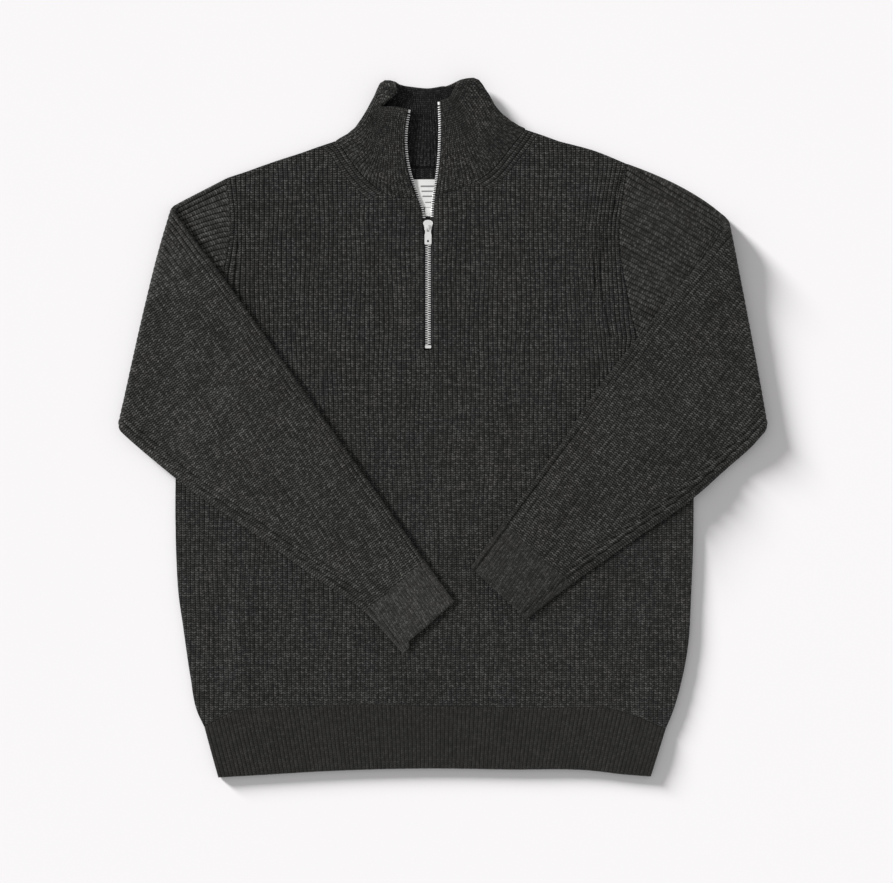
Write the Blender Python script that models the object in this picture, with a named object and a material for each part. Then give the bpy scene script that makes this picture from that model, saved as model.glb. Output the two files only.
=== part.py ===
# Quarter zip sweater in a chunky rib knit, laid flat with its front up and both sleeves folded
# over the front. Metres, +Z up, +Y towards the collar. The origin is on the surface it lies on,
# below the middle of its outline. Left and right in names are the wearer's, so right is at -X.

import math

import bmesh
import bpy
import numpy as np

# Driving dimensions.
WALL = 0.0030  # knit at the crown of a rib
SEAM_GAP = 0.0003
REST_GAP = 0.0010  # between the front's crowns and a sleeve that lies on them
STACK = 2 * WALL + SEAM_GAP  # back and front lying on each other
BODY_WIDTH = 0.5698  # flat width below the armholes
BODY_SIDE = -0.2943  # the wearer's right side edge
RIB_PITCH = 0.0060
RIB_DEPTH = 0.0010
FINE_PITCH = 0.0033  # ribs of collar, hem and cuffs
FINE_DEPTH = 0.0008
RAISED = 0.0094  # crown of the front along the zip and the neckline
CUFF_LENGTH = 0.0620
CUFF_SWELL = 0.0010
SLEEVE_SWELL = 0.0030  # how far the upper layer of a folded sleeve stands off the lower one
SLEEVE_CORD = 0.0032  # radius of the tube's long edges
FOLD_AXIS = 0.0068  # height of the line that a sleeve is bent round
FOLD_RADIUS = 0.0040  # length taken up by each radian of that bend
INNER_CORD = 0.0008  # the same radius inside the tube
INNER_INSET = 0.0020  # how far inside its edges the tube's inner columns start
COARSE_STEP = 0.0240  # spacing of columns on plain faces
CURVE_STEP = 0.0040  # spacing of points where a seam's curve is measured
SLANT_ALLOWANCE = 1.5  # seam gaps measured along Y are this much wider, as the hem's seam slants
ARMHOLE_ALLOWANCE = 1.3  # and at a sleeve's curved armhole this much
HEM_PLAIN_COLUMNS = 25
HEM_BACK_COLUMNS = 49
FRONT_LEVELS = (-0.345, -0.285, -0.225, -0.130, -0.030, 0.080, 0.180, 0.245, 0.285, 0.340)
COLUMNS_BY_ZIP = (-0.045, -0.020, 0.020, 0.045)  # of the front's plain inner face, from the zip
FRONT_CUT = (-0.010, 0.030)  # heights that the front's outline is cut through

ZIP_X = -0.0170
BEAD_WIDTH = 0.0030  # envelope of one side's teeth
BEAD_HEIGHT = 0.0025
TAPE_WIDTH = 0.0075
TAPE_WALL = 0.0010
TAPE_Z = RAISED - WALL - SEAM_GAP - TAPE_WALL / 2
BEAD_FLAT = (-0.5, 0.6)  # shares of the half width that its flat top and bottom cover
BEAD_SIDE = 0.6  # share of the half height that its side covers
TAPE_SHARES = (0.10, 0.22, 0.36, 0.50, 0.64, 0.78, 0.88, 0.955)  # of the collar's width
STOP_LENGTH = 0.0034
TOP_STOP = (0.0028, 0.0032, 0.0006)  # width, height, corner
BOTTOM_STOP = (2 * BEAD_WIDTH + 0.0008, 0.0030, 0.0007)  # the same
PLATE_WALL = 0.0010
LOWER_PLATE = (0.92, 0.8)  # outline and wall of the slider's lower plate against the upper one's
SLIDER_POST = (0.0022, 0.0020, 0.0006)  # width, length, corner
POST_Y = 0.0048
POST_INSET = 0.0002
PULL_AXIS_Y = 0.2205
PULL_LENGTH = 0.0188
PULL_WIDTH = 0.0076
PULL_WALL = 0.0012
PULL_CORNER = 0.0012
# Upper half of the tab's outline: (share of its half width, y).
PULL_NECK = [(0.72, 0.0006), (0.85, -0.0030), (0.85, -0.0062), (1.0, -0.0080)]
PULL_WINDOW = (0.0, -0.0026, 0.0030, 0.0040, 0.0005)  # x, y, width, length, corner
PULL_HOLE = (0.0, -0.0150, 0.0024, 0.0026, 0.0010)
BAIL_RADIUS = 0.0023
BAIL_BAR = 0.0010
BAIL_WIDTH = 0.0014
BAIL_SUNK = 0.0004  # how far its feet go into the upper plate
LABEL_WALL = 0.0006
LABEL_CORNER = 0.0008
# The labels: (name, x, y, width, length).
LABELS = [("neck_label", -0.0185, 0.2585, 0.0480, 0.0308), ("size_tab", -0.0132, 0.23805, 0.0150, 0.0095)]

CHARCOAL = (0.030, 0.030, 0.028, 1.0)
CHARCOAL_RIB = (0.026, 0.026, 0.024, 1.0)
TAPE_BLACK = (0.012, 0.012, 0.012, 1.0)
NICKEL = (0.62, 0.61, 0.59, 1.0)
LABEL_WHITE = (0.78, 0.77, 0.75, 1.0)

# The outline of the body, as named runs of (x, y) from the wearer's right armhole round to the left.
ARMHOLE_RIGHT = [
    (-0.2393, 0.2750), (-0.2360, 0.2288), (-0.2371, 0.2013), (-0.2426, 0.1683),
    (-0.2470, 0.1408), (-0.2624, 0.0913), (-0.2898, 0.0275),
]
SIDE_RIGHT = [
    (-0.2943, 0.0190), (-0.2943, -0.1408), (-0.2921, -0.1804), (-0.2866, -0.2200),
    (-0.2789, -0.2728), (-0.2712, -0.3124), (-0.2635, -0.3289),
]
HEM_SEAM = [
    (-0.2635, -0.3289), (-0.2338, -0.3135), (-0.1666, -0.3069), (-0.0930, -0.3042),
    (-0.0170, -0.3058), (0.1062, -0.3080), (0.1953, -0.3113), (0.2448, -0.3311),
]
HEM_FOOT = [
    (-0.2481, -0.3850), (-0.2019, -0.3823), (-0.1359, -0.3784), (-0.0809, -0.3762),
    (-0.0170, -0.3751), (0.0732, -0.3762), (0.1612, -0.3773), (0.1996, -0.3817), (0.2283, -0.3839),
]
SIDE_LEFT = [
    (0.2448, -0.3311), (0.2525, -0.3124), (0.2635, -0.2728), (0.2701, -0.2332),
    (0.2722, -0.1936), (0.2745, -0.1408), (0.2755, 0.0110),
]
ARMHOLE_LEFT = [
    (0.2734, 0.0150), (0.2380, 0.0600), (0.2140, 0.1010), (0.2019, 0.1518),
    (0.1953, 0.1903), (0.1935, 0.2156), (0.1965, 0.2450), (0.2030, 0.2904),
]
SHOULDER_LEFT = [(0.2030, 0.2904), (0.1656, 0.3055), (0.1282, 0.3155)]
SHOULDER_RIGHT = [(-0.1579, 0.3025), (-0.2041, 0.2871), (-0.2393, 0.2750)]

# How far the front stands off the back inside its edges: (place, y, height).
PUFF = [
    ("hem seam", -0.330, 0.0010), ("blouson", -0.265, 0.0045), ("waist", -0.120, 0.0030),
    ("chest", 0.100, 0.0020), ("shoulder", 0.300, 0.0005),
]
PUFF_REACH = 0.060  # the puff is full this far in from the edge
FOLD_REACH = 0.030  # and the folds of the front this far in
ZIP_PLATEAU = (0.020, 0.035)  # half width of the raised strip along the zip, and of its slope
ZIP_RAISED_TO = 0.3000
NECK_PLATEAU = (0.008, 0.030)  # the same for the raised strip along the neckline
NECK_STEP = 0.020

# Soft ridges and troughs of the front: (name, x0, y0, x1, y1, half width, height).
BODY_FOLDS = [
    ("right hem trough", -0.2500, -0.300, -0.2420, -0.190, 0.016, -0.0030),
    ("right hem ridge", -0.2240, -0.300, -0.2180, -0.170, 0.020, 0.0018),
    ("left hem ridge", 0.1500, -0.300, 0.1650, -0.200, 0.030, 0.0020),
    ("left hem trough", 0.2050, -0.290, 0.2120, -0.200, 0.018, -0.0022),
    ("middle ridge", -0.0300, -0.280, -0.0100, -0.120, 0.045, 0.0012),
]

# The zip's course: (place, y, right cloth edge, right teeth, left teeth, left cloth edge).
ZIP_COURSE = [
    ("neckline", 0.2541, -0.0299, -0.0280, -0.0107, -0.0088),
    ("vee", 0.2420, -0.0254, -0.0236, -0.0119, -0.0101),
    ("slider mouth", 0.2295, -0.0236, -0.0212, -0.0128, -0.0104),
    ("slider throat", 0.2250, -0.0235, -0.0197, -0.0143, -0.0105),
    ("slider foot", 0.2190, -0.0232, -0.01865, -0.01535, -0.0108),
    ("chain", 0.2090, -0.0219, -0.01865, -0.01535, -0.0121),
    ("chain end", 0.0914, -0.0219, -0.01865, -0.01535, -0.0121),
]
SLOT_END = 0.0858

# The stand collar from the right zip edge round the neck to the left one. Each section runs from
# the neckline seam over a middle point to the rim: (name, seam xy, middle xyz, rim xyz).
COLLAR = [
    ("right zip edge", (-0.0299, 0.2541), (-0.0426, 0.3025, 0.0125), (-0.0389, 0.3498, 0.0150)),
    ("right front", (-0.0535, 0.2535), (-0.0585, 0.3030, 0.0132), (-0.0535, 0.3525, 0.0162)),
    ("right side", (-0.0845, 0.2735), (-0.0790, 0.3130, 0.0128), (-0.0660, 0.3560, 0.0150)),
    ("right ridge", (-0.1035, 0.2965), (-0.0880, 0.3320, 0.0120), (-0.0590, 0.3700, 0.0170)),
    ("right turn", (-0.1150, 0.3140), (-0.0862, 0.3443, 0.0), (-0.0640, 0.3820, 0.0)),
    ("right back", (-0.0985, 0.3025), (-0.0760, 0.3360, 0.0015), (-0.0540, 0.3778, 0.0015)),
    ("back right", (-0.0588, 0.2904), (-0.0470, 0.3310, 0.0015), (-0.0350, 0.3762, 0.0015)),
    ("back middle", (-0.0182, 0.2860), (-0.0182, 0.3300, 0.0015), (-0.0182, 0.3746, 0.0015)),
    ("back left", (0.0292, 0.2937), (0.0170, 0.3345, 0.0015), (0.0040, 0.3770, 0.0015)),
    ("left back", (0.0710, 0.3145), (0.0480, 0.3490, 0.0015), (0.0230, 0.3822, 0.0015)),
    ("left turn", (0.0897, 0.3278), (0.0605, 0.3474, 0.0), (0.0368, 0.3828, 0.0)),
    ("left side", (0.0700, 0.3030), (0.0500, 0.3430, 0.0125), (0.0275, 0.3844, 0.0165)),
    ("left shoulder", (0.0510, 0.2815), (0.0330, 0.3260, 0.0135), (0.0145, 0.3740, 0.0170)),
    ("left front", (0.0203, 0.2640), (0.0150, 0.3120, 0.0135), (0.0060, 0.3625, 0.0165)),
    ("left zip edge", (-0.0088, 0.2552), (-0.0026, 0.3080, 0.0125), (-0.0035, 0.3590, 0.0150)),
]
TURN_RADIUS = (0.0032, 0.0052, 0.0070)  # of the collar's turns at seam, middle and rim
TURN_ANGLES = (90, 45, 0, -45, -90)
TURN_TRIM = 0.0080  # the panels stop this far along the seam from the middle of a turn
TURN_STEP = 0.0020  # spacing of the seam's points near a turn
TURN_STEPS = 6
SEAM_END = 0.0010  # no seam point lies closer than this to the seam's end
COLLAR_SHARES = (0.008, 0.25, 0.50, 0.75, 1.0)  # rows from the seam to the rim
COLLAR_REACH = 0.0120  # how far past a turn the hidden face still has ribs
COLLAR_COARSE = 8  # on a hidden face every eighth column is kept

# Each sleeve in its own plan: origin at the shoulder tip, "along" down the overarm edge and
# "across" towards the underarm. The edges give "across" for each "along". The bow tells how far
# the fold bulges outwards for each distance down it from the overarm edge.
SLEEVES = {
    "right": {
        "tip": (-0.2393, 0.2750),
        "along": (-0.88306, -0.46926),
        "across": (0.46926, -0.88306),
        "fold_at": (-0.2921, 0.2404),
        "fold_out": (-0.97330, 0.22955),
        "armhole": ARMHOLE_RIGHT,
        "overarm": [(0.0, 0.0), (0.30, 0.0), (0.5440, 0.0), (0.6100, 0.0)],
        "underarm": [(0.1607, 0.1949), (0.2296, 0.1853), (0.2744, 0.1793), (0.3147, 0.1702),
                     (0.4054, 0.1376), (0.4822, 0.1113), (0.5500, 0.0870), (0.6120, 0.0790)],
        "cuff_seam": (0.5440, 0.095),
        "bow": [(0.0, 0.0012), (0.05, 0.0040), (0.11, 0.0048), (0.17, 0.0044), (0.22, 0.0036)],
    },
    "left": {
        "tip": (0.2030, 0.2904),
        "along": (0.85689, -0.51550),
        "across": (-0.51550, -0.85689),
        "fold_at": (0.30682, 0.22752),
        "fold_out": (0.98201, 0.18883),
        "armhole": ARMHOLE_LEFT[::-1],
        "overarm": [(0.0, 0.0), (0.0258, -0.0040), (0.0596, -0.0076), (0.0956, -0.0075),
                    (0.1245, -0.0045), (0.1600, -0.0026), (0.2516, -0.0038), (0.3486, -0.0061),
                    (0.4388, -0.0014), (0.5332, 0.0), (0.6190, 0.0015)],
        "underarm": [(0.2023, 0.1997), (0.2400, 0.1830), (0.2780, 0.1705), (0.3105, 0.1672),
                     (0.3501, 0.1593), (0.3875, 0.1518), (0.4861, 0.1203), (0.5599, 0.0976),
                     (0.6214, 0.0821)],
        "cuff_seam": (0.5400, 0.095),
        "bow": [(0.0, 0.0005), (0.05, 0.0020), (0.11, 0.0028), (0.17, 0.0022), (0.22, 0.0010)],
    },
}
BOW_REACH = 0.070  # the bow of a fold fades out this far to each side of it
BEND_ANGLES = (0, 45, 90, 135, 180)
BEND_LIFT_REACH = 0.0300  # past the bend, the sleeve takes this far to lie on what is below it
CAP_SHARES = (0.35, 0.70)  # rows between the armhole and the fold
SLEEVE_SHARES = (0.08, 0.22, 0.38, 0.54, 0.70, 0.85, 1.0)  # rows between the bend and the cuff seam
CUFF_SHARES = (0.0, 0.12, 1.0)  # rows along the cuff
# Depth of the ribs, and swell of the upper layer, as shares of their full values from row to row.
CAP_RIBS = (1.0, 1.0, 0.0)
BEND_RIBS = (0.0, 0.7, 1.0, 1.0)
SWELL_IN = 0.3
SWELL_OUT = 0.7
RIB_MARGIN = 0.3  # of half a pitch, kept free at both ends of a ribbed row

# Dips and ridges in what the folded sleeves lie on, and in their upper faces.
SAGS = [
    ("right elbow", -0.330, -0.012, -0.352, -0.030, 0.050, -0.0040),
    ("left elbow", 0.318, -0.030, 0.348, -0.045, 0.050, -0.0040),
]
SLEEVE_FOLDS = [
    ("right elbow ridge", -0.270, -0.010, -0.225, 0.030, 0.026, 0.0022),
    ("right forearm ridge", -0.150, -0.060, -0.060, -0.150, 0.018, 0.0012),
    ("left cap roll", 0.270, 0.215, 0.190, 0.105, 0.024, 0.0028),
    ("left elbow ridge", 0.270, -0.020, 0.225, 0.030, 0.028, 0.0024),
    ("left forearm ridge", 0.140, -0.075, 0.070, -0.140, 0.018, 0.0012),
]

SLIDER_OUTLINE = [
    (0.0, 0.0064), (0.0030, 0.0060), (0.0051, 0.0042), (0.0054, 0.0022), (0.0045, 0.0),
    (0.0040, -0.0025), (0.0040, -0.0046), (0.0030, -0.0054), (0.0, -0.0056),
]
SLIDER_Y = 0.2226


def ease(x):
    x = np.clip(x, 0.0, 1.0)
    return x * x * (3 - 2 * x)


# Values read from a smooth curve through knots, with slopes taken from the neighbours.
def smooth(knots, values, at):
    knots = np.asarray(knots, float)
    values = np.asarray(values, float)
    at = np.clip(np.asarray(at, float), knots[0], knots[-1])
    slopes = np.gradient(values, knots, axis=0)
    i = np.clip(np.searchsorted(knots, at, side="right") - 1, 0, len(knots) - 2)
    step = knots[i + 1] - knots[i]
    t = (at - knots[i]) / step
    if values.ndim == 2:
        t = t[:, None]
        step = step[:, None]
    rise = t * t * (3 - 2 * t)
    bend = t * (1 - t)
    start = (1 - rise) * values[i] + bend * (1 - t) * step * slopes[i]
    return start + rise * values[i + 1] - bend * t * step * slopes[i + 1]


# A table of points made into a smooth run with a point about every spacing.
def run_through(points, spacing=0.015):
    points = np.asarray(points, float)
    knots = np.concatenate([[0], np.cumsum(np.linalg.norm(np.diff(points, axis=0), axis=1))])
    count = max(2, int(math.ceil(knots[-1] / spacing)) + 1)
    return smooth(knots, points, np.linspace(0, knots[-1], count))


# Distance of plan points from a line through several points.
def distance_from(line, x, y):
    line = np.asarray(line, float)
    nearest = np.full(np.shape(x), np.inf)
    for (x0, y0), (x1, y1) in zip(line[:-1], line[1:]):
        dx, dy = x1 - x0, y1 - y0
        t = np.clip(((x - x0) * dx + (y - y0) * dy) / (dx * dx + dy * dy + 1e-12), 0, 1)
        nearest = np.minimum(nearest, np.hypot(x - x0 - t * dx, y - y0 - t * dy))
    return nearest


def is_inside(outline, x, y):
    found = np.zeros(np.shape(x), bool)
    for (x0, y0), (x1, y1) in zip(outline, np.roll(outline, -1, axis=0)):
        crosses = (y0 > y) != (y1 > y)
        at = x0 + (y - y0) * (x1 - x0) / np.where(y1 == y0, 1e-12, y1 - y0)
        found ^= crosses & (x < at)
    return found


# Soft ridges and troughs along short lines, highest in the middle of each.
def relief(table, x, y):
    total = np.zeros(np.shape(x))
    for _, x0, y0, x1, y1, half_width, height in table:
        near = distance_from([(x0, y0), (x1, y1)], x, y) / half_width
        total += height * np.where(near < 1, (1 - near**2) ** 2, 0)
    return total


# ---- The collar's middle surface ----

def turn_sections(seam, middle, rim, upward):
    # One half turn of the strip, from its raised front layer to its flat back layer or the reverse.
    base = np.array([seam[0], seam[1], 0.0])
    tip = np.array([rim[0], rim[1], 0.0])
    edge = (tip - base) / np.linalg.norm(tip - base)
    outward = np.array([-edge[1], edge[0], 0.0])
    if outward[0] * base[0] < 0:
        outward = -outward
    sections = []
    for angle in (TURN_ANGLES if upward else TURN_ANGLES[::-1]):
        points = []
        for point, radius in zip((seam, middle, rim), TURN_RADIUS):
            centre = np.array([point[0], point[1], WALL / 2 + radius]) - outward * radius
            lift = np.array([0.0, 0.0, radius * math.sin(math.radians(angle))])
            points.append(centre + outward * radius * math.cos(math.radians(angle)) + lift)
        sections.append(points)
    return sections


def collar_sections():
    sections = []
    turned = 0
    for name, seam, middle, rim in COLLAR:
        if name.endswith("turn"):
            sections += turn_sections(seam, middle, rim, upward=turned == 0)
            turned += 1
            continue
        seam_z = WALL / 2 if turned == 1 else RAISED - WALL / 2
        sections.append([(seam[0], seam[1], seam_z), middle, rim])
    return np.array(sections, float)


class CollarSurface:
    def __init__(self):
        self.sections = collar_sections()
        steps = np.linalg.norm(np.diff(self.sections[:, 1], axis=0), axis=1)
        self.knots = np.concatenate([[0], np.cumsum(steps)])
        self.length = self.knots[-1]
        first_turn = [name.endswith("turn") for name, *_ in COLLAR].index(True)
        self.turns = (self.knots[first_turn + 2], self.knots[-first_turn - 3])

    # Points at the places "along" the strip, at one share of its width from seam to rim.
    def at(self, along, share):
        seam, middle, rim = (smooth(self.knots, self.sections[:, k], along) for k in range(3))
        weights = ((1 - share) * (1 - 2 * share), 4 * share * (1 - share), share * (2 * share - 1))
        return weights[0] * seam + weights[1] * middle + weights[2] * rim

    # Unit directions along and across the strip, and its outward normal.
    def frame(self, along, share):
        step, share_step = 0.0005, 0.01
        ahead = self.at(np.minimum(along + step, self.length), share)
        behind = self.at(np.maximum(along - step, 0), share)
        up = self.at(along, min(share + share_step, 1)) - self.at(along, max(share - share_step, 0))
        run = (ahead - behind) / np.linalg.norm(ahead - behind, axis=1)[:, None]
        normal = np.cross(up, run)
        normal /= np.linalg.norm(normal, axis=1)[:, None]
        return run, up / np.linalg.norm(up, axis=1)[:, None], normal

    # The seam's plan points between two places, close together on the turns.
    def seam(self, start, end, spacing=0.008):
        low, high = min(start, end), max(start, end)
        places = list(np.linspace(low, high, int(math.ceil((high - low) / spacing)) + 1))
        for turn in self.turns:
            places += list(turn + np.arange(-TURN_STEPS, TURN_STEPS + 1) * TURN_STEP)
        places = np.unique(np.round([p for p in places if low <= p <= high], 4))
        between = places[(places > low + SEAM_END) & (places < high - SEAM_END)]
        places = np.concatenate([[low], between, [high]])
        return self.at(places if start < end else places[::-1], 0.0)[:, :2]


collar_surface = CollarSurface()


# ---- Outlines and heights of the body ----

def slot_edges():
    right = [(row[2], row[1]) for row in ZIP_COURSE[1:]] + [(ZIP_COURSE[-1][2], SLOT_END)]
    left = [(row[5], row[1]) for row in ZIP_COURSE[1:]] + [(ZIP_COURSE[-1][5], SLOT_END)]
    return right, left


# The outline that front and back share, from the left shoulder round the foot to the right shoulder.
def shared_sides():
    runs = (SHOULDER_LEFT, ARMHOLE_LEFT, SIDE_LEFT, HEM_SEAM, SIDE_RIGHT, ARMHOLE_RIGHT, SHOULDER_RIGHT)
    return [run_through(run)[::-1] for run in runs]


def front_outline():
    right_turn, left_turn = collar_surface.turns
    right_slot, left_slot = slot_edges()
    parts = [
        collar_surface.seam(0.0, right_turn - TURN_TRIM)[::-1],
        np.array(right_slot),
        np.array(left_slot)[::-1],
        collar_surface.seam(left_turn + TURN_TRIM, collar_surface.length)[::-1],
    ]
    return np.concatenate(shared_sides() + parts)


BODY_OUTLINE = front_outline()
NECK_LINES = [
    collar_surface.seam(0.0, collar_surface.turns[0], NECK_STEP),
    collar_surface.seam(collar_surface.turns[1], collar_surface.length, NECK_STEP),
]
ZIP_LINE = [(ZIP_X, SLOT_END), (ZIP_X, ZIP_RAISED_TO)]


# Height of the front's rib crowns above the surface, and of whatever a folded sleeve lies on.
def crown_height(x, y):
    x = np.asarray(x, float)
    y = np.asarray(y, float)
    in_from_edge = np.where(is_inside(BODY_OUTLINE, x, y), distance_from(BODY_OUTLINE, x, y), 0)
    puff = smooth([row[1] for row in PUFF], [row[2] for row in PUFF], y)
    height = STACK + ease(in_from_edge / PUFF_REACH) * puff
    height = height + ease(in_from_edge / FOLD_REACH) * relief(BODY_FOLDS, x, y)
    height = np.maximum(height, STACK)
    near_zip = 1 - ease((distance_from(ZIP_LINE, x, y) - ZIP_PLATEAU[0]) / ZIP_PLATEAU[1])
    from_neck = np.minimum(*(distance_from(line, x, y) for line in NECK_LINES))
    raised = np.maximum(near_zip, 1 - ease((from_neck - NECK_PLATEAU[0]) / NECK_PLATEAU[1]))
    return height + raised * (RAISED - height)


# ---- Meshes ----

def put(name, mesh, colour, roughness=0.9, metallic=0.0, location=(0, 0, 0)):
    obj = bpy.data.objects.new(name, mesh)
    sweater.objects.link(obj)
    obj.location = location
    obj.parent = garment
    material = bpy.data.materials.new(name)
    material.use_nodes = True
    surface = material.node_tree.nodes["Principled BSDF"]
    surface.inputs["Base Color"].default_value = colour
    surface.inputs["Roughness"].default_value = roughness
    surface.inputs["Metallic"].default_value = metallic
    mesh.materials.clear()
    mesh.materials.append(material)
    mesh.shade_smooth()
    mesh.set_sharp_from_angle(angle=math.radians(35))
    return obj


# Triangles between two rows of (place, vertex), which may hold unlike counts.
def stitch(bm, first, second):
    i = j = 0
    while i < len(first) - 1 or j < len(second) - 1:
        on_first = j == len(second) - 1
        if i < len(first) - 1 and not on_first:
            on_first = first[i + 1][0] <= second[j + 1][0] + 1e-7
        third = first[i + 1][1] if on_first else second[j + 1][1]
        bm.faces.new((first[i][1], second[j][1], third))
        i += on_first
        j += not on_first


# A cloth wall from its outer and inner rows, each row a (places, points) pair. A tube's rows close
# on themselves, with the place where they do given by "round".
def wall_mesh(name, outer, inner, stations, round_place=None):
    bm = bmesh.new()

    def vertex_rows(rows):
        made = []
        for places, points in rows:
            row = [(place, bm.verts.new(point)) for place, point in zip(places, points)]
            if round_place is not None:
                row.append((round_place + places[0], row[0][1]))
            made.append(row)
        return made

    outer_rows = vertex_rows(outer)
    inner_rows = vertex_rows(inner)
    for rows in (outer_rows, inner_rows):
        for first, second in zip(rows[:-1], rows[1:]):
            stitch(bm, first, second)
    stitch(bm, outer_rows[0], inner_rows[0])
    stitch(bm, outer_rows[-1], inner_rows[-1])
    if round_place is None:
        for end in (0, -1):
            outer_side = [(place, row[end][1]) for place, row in zip(stations[0], outer_rows)]
            inner_side = [(place, row[end][1]) for place, row in zip(stations[1], inner_rows)]
            stitch(bm, outer_side, inner_side)
    bmesh.ops.recalc_face_normals(bm, faces=bm.faces)
    mesh = bpy.data.meshes.new(name)
    bm.to_mesh(mesh)
    bm.free()
    return mesh


# A solid through rings of equal counts, closed by a face at each end.
def ring_mesh(name, rings):
    bm = bmesh.new()
    loops = [[bm.verts.new(point) for point in ring] for ring in rings]
    for first, second in zip(loops[:-1], loops[1:]):
        for k in range(len(first)):
            after = (k + 1) % len(first)
            bm.faces.new((first[k], first[after], second[after], second[k]))
    bm.faces.new(loops[0])
    bm.faces.new(loops[-1])
    bmesh.ops.recalc_face_normals(bm, faces=bm.faces)
    bmesh.ops.triangulate(bm, faces=bm.faces)
    mesh = bpy.data.meshes.new(name)
    bm.to_mesh(mesh)
    bm.free()
    return mesh


# A flat outline, with holes if any, between two heights.
def plate_mesh(name, outlines, low, high):
    curve = bpy.data.curves.new(name, "CURVE")
    curve.dimensions = "2D"
    curve.fill_mode = "BOTH"
    curve.extrude = (high - low) / 2
    for outline in outlines:
        spline = curve.splines.new("POLY")
        spline.points.add(len(outline) - 1)
        for point, (x, y) in zip(spline.points, outline):
            point.co = (x, y, 0, 1)
        spline.use_cyclic_u = True
    guide = bpy.data.objects.new(name + " outline", curve)
    sweater.objects.link(guide)
    bpy.context.view_layer.update()
    mesh = bpy.data.meshes.new_from_object(guide.evaluated_get(bpy.context.evaluated_depsgraph_get()))
    bpy.data.objects.remove(guide)
    bm = bmesh.new()
    bm.from_mesh(mesh)
    bmesh.ops.translate(bm, verts=bm.verts, vec=(0, 0, (low + high) / 2))
    bmesh.ops.remove_doubles(bm, verts=bm.verts, dist=1e-6)
    bmesh.ops.recalc_face_normals(bm, faces=bm.faces)
    bm.to_mesh(mesh)
    bm.free()
    return mesh


def cutter(name, mesh):
    obj = bpy.data.objects.new(name, mesh)
    cutters.objects.link(obj)
    obj.hide_render = True
    obj.display_type = "WIRE"
    return obj


def add_boolean(obj, operation, other):
    modifier = obj.modifiers.new(operation.title() + " " + other.name, "BOOLEAN")
    modifier.operation = operation
    modifier.solver = "EXACT"
    modifier.object = other


def arc(cx, cy, radius, start, end, count):
    angles = np.radians(np.linspace(start, end, count))
    return [(cx + radius * math.cos(a), cy + radius * math.sin(a)) for a in angles]


def rounded_box(cx, cy, width, height, radius):
    x, y = width / 2 - radius, height / 2 - radius
    corners = [(x, y, 0), (-x, y, 90), (-x, -y, 180), (x, -y, 270)]
    return [p for dx, dy, a in corners for p in arc(cx + dx, cy + dy, radius, a, a + 90, 4)]


# ---- Body ----

def make_front():
    ribs = round(BODY_WIDTH / RIB_PITCH)
    half = BODY_WIDTH / ribs / 2
    columns = BODY_SIDE - half / 2 + half * np.arange(2 * ribs + 2)
    coarse = np.linspace(columns[0], columns[-1], round(BODY_WIDTH / COARSE_STEP) + 1)
    coarse = np.unique(np.concatenate([coarse, [ZIP_X + shift for shift in COLUMNS_BY_ZIP]]))
    outer, inner = [], []
    for y in FRONT_LEVELS:
        valley = RIB_DEPTH * (np.arange(len(columns)) % 2)
        z = crown_height(columns, np.full(len(columns), y)) - valley
        outer.append((columns, np.column_stack([columns, np.full(len(columns), y), z])))
        z = crown_height(coarse, np.full(len(coarse), y)) - WALL
        inner.append((coarse, np.column_stack([coarse, np.full(len(coarse), y), z])))
    front = put("front", wall_mesh("front", outer, inner, (FRONT_LEVELS, FRONT_LEVELS)), CHARCOAL)
    add_boolean(front, "INTERSECT", cutter("front cut", plate_mesh("front cut", [BODY_OUTLINE], *FRONT_CUT)))


def make_back():
    right_turn, left_turn = collar_surface.turns
    neck = collar_surface.seam(left_turn - TURN_TRIM, right_turn + TURN_TRIM)
    outline = np.concatenate(shared_sides() + [neck[::-1]])
    put("back", plate_mesh("back", [outline], 0.0, WALL), CHARCOAL)


# Plan points along the hem's seam and along its foot, and their places along the band.
def hem_edges(count):
    seam = run_through(HEM_SEAM, CURVE_STEP)
    foot = run_through(HEM_FOOT, CURVE_STEP)
    places = np.linspace(0, 1, count)
    top = smooth(np.linspace(0, 1, len(seam)), seam, places)
    low = smooth(np.linspace(0, 1, len(foot)), foot, places)
    top[:, 1] -= SEAM_GAP * SLANT_ALLOWANCE
    return places, top, low


def make_hem():
    ribs = round((HEM_FOOT[-1][0] - HEM_FOOT[0][0]) / FINE_PITCH)
    places, seam, foot = hem_edges(2 * ribs + 1)
    valley = FINE_DEPTH * (np.arange(len(places)) % 2)
    outer = [(places, np.column_stack([plan, STACK - valley])) for plan in (seam, foot)]
    places, seam, foot = hem_edges(HEM_PLAIN_COLUMNS)
    inner = [(places, np.column_stack([plan, np.full(len(plan), STACK - WALL)])) for plan in (seam, foot)]
    put("hem_front", wall_mesh("hem_front", outer, inner, ((0, 1), (0, 1))), CHARCOAL_RIB)
    _, seam, foot = hem_edges(HEM_BACK_COLUMNS)
    put("hem_back", plate_mesh("hem_back", [np.concatenate([seam, foot[::-1]])], 0.0, WALL), CHARCOAL_RIB)


# ---- Sleeves ----

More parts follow.
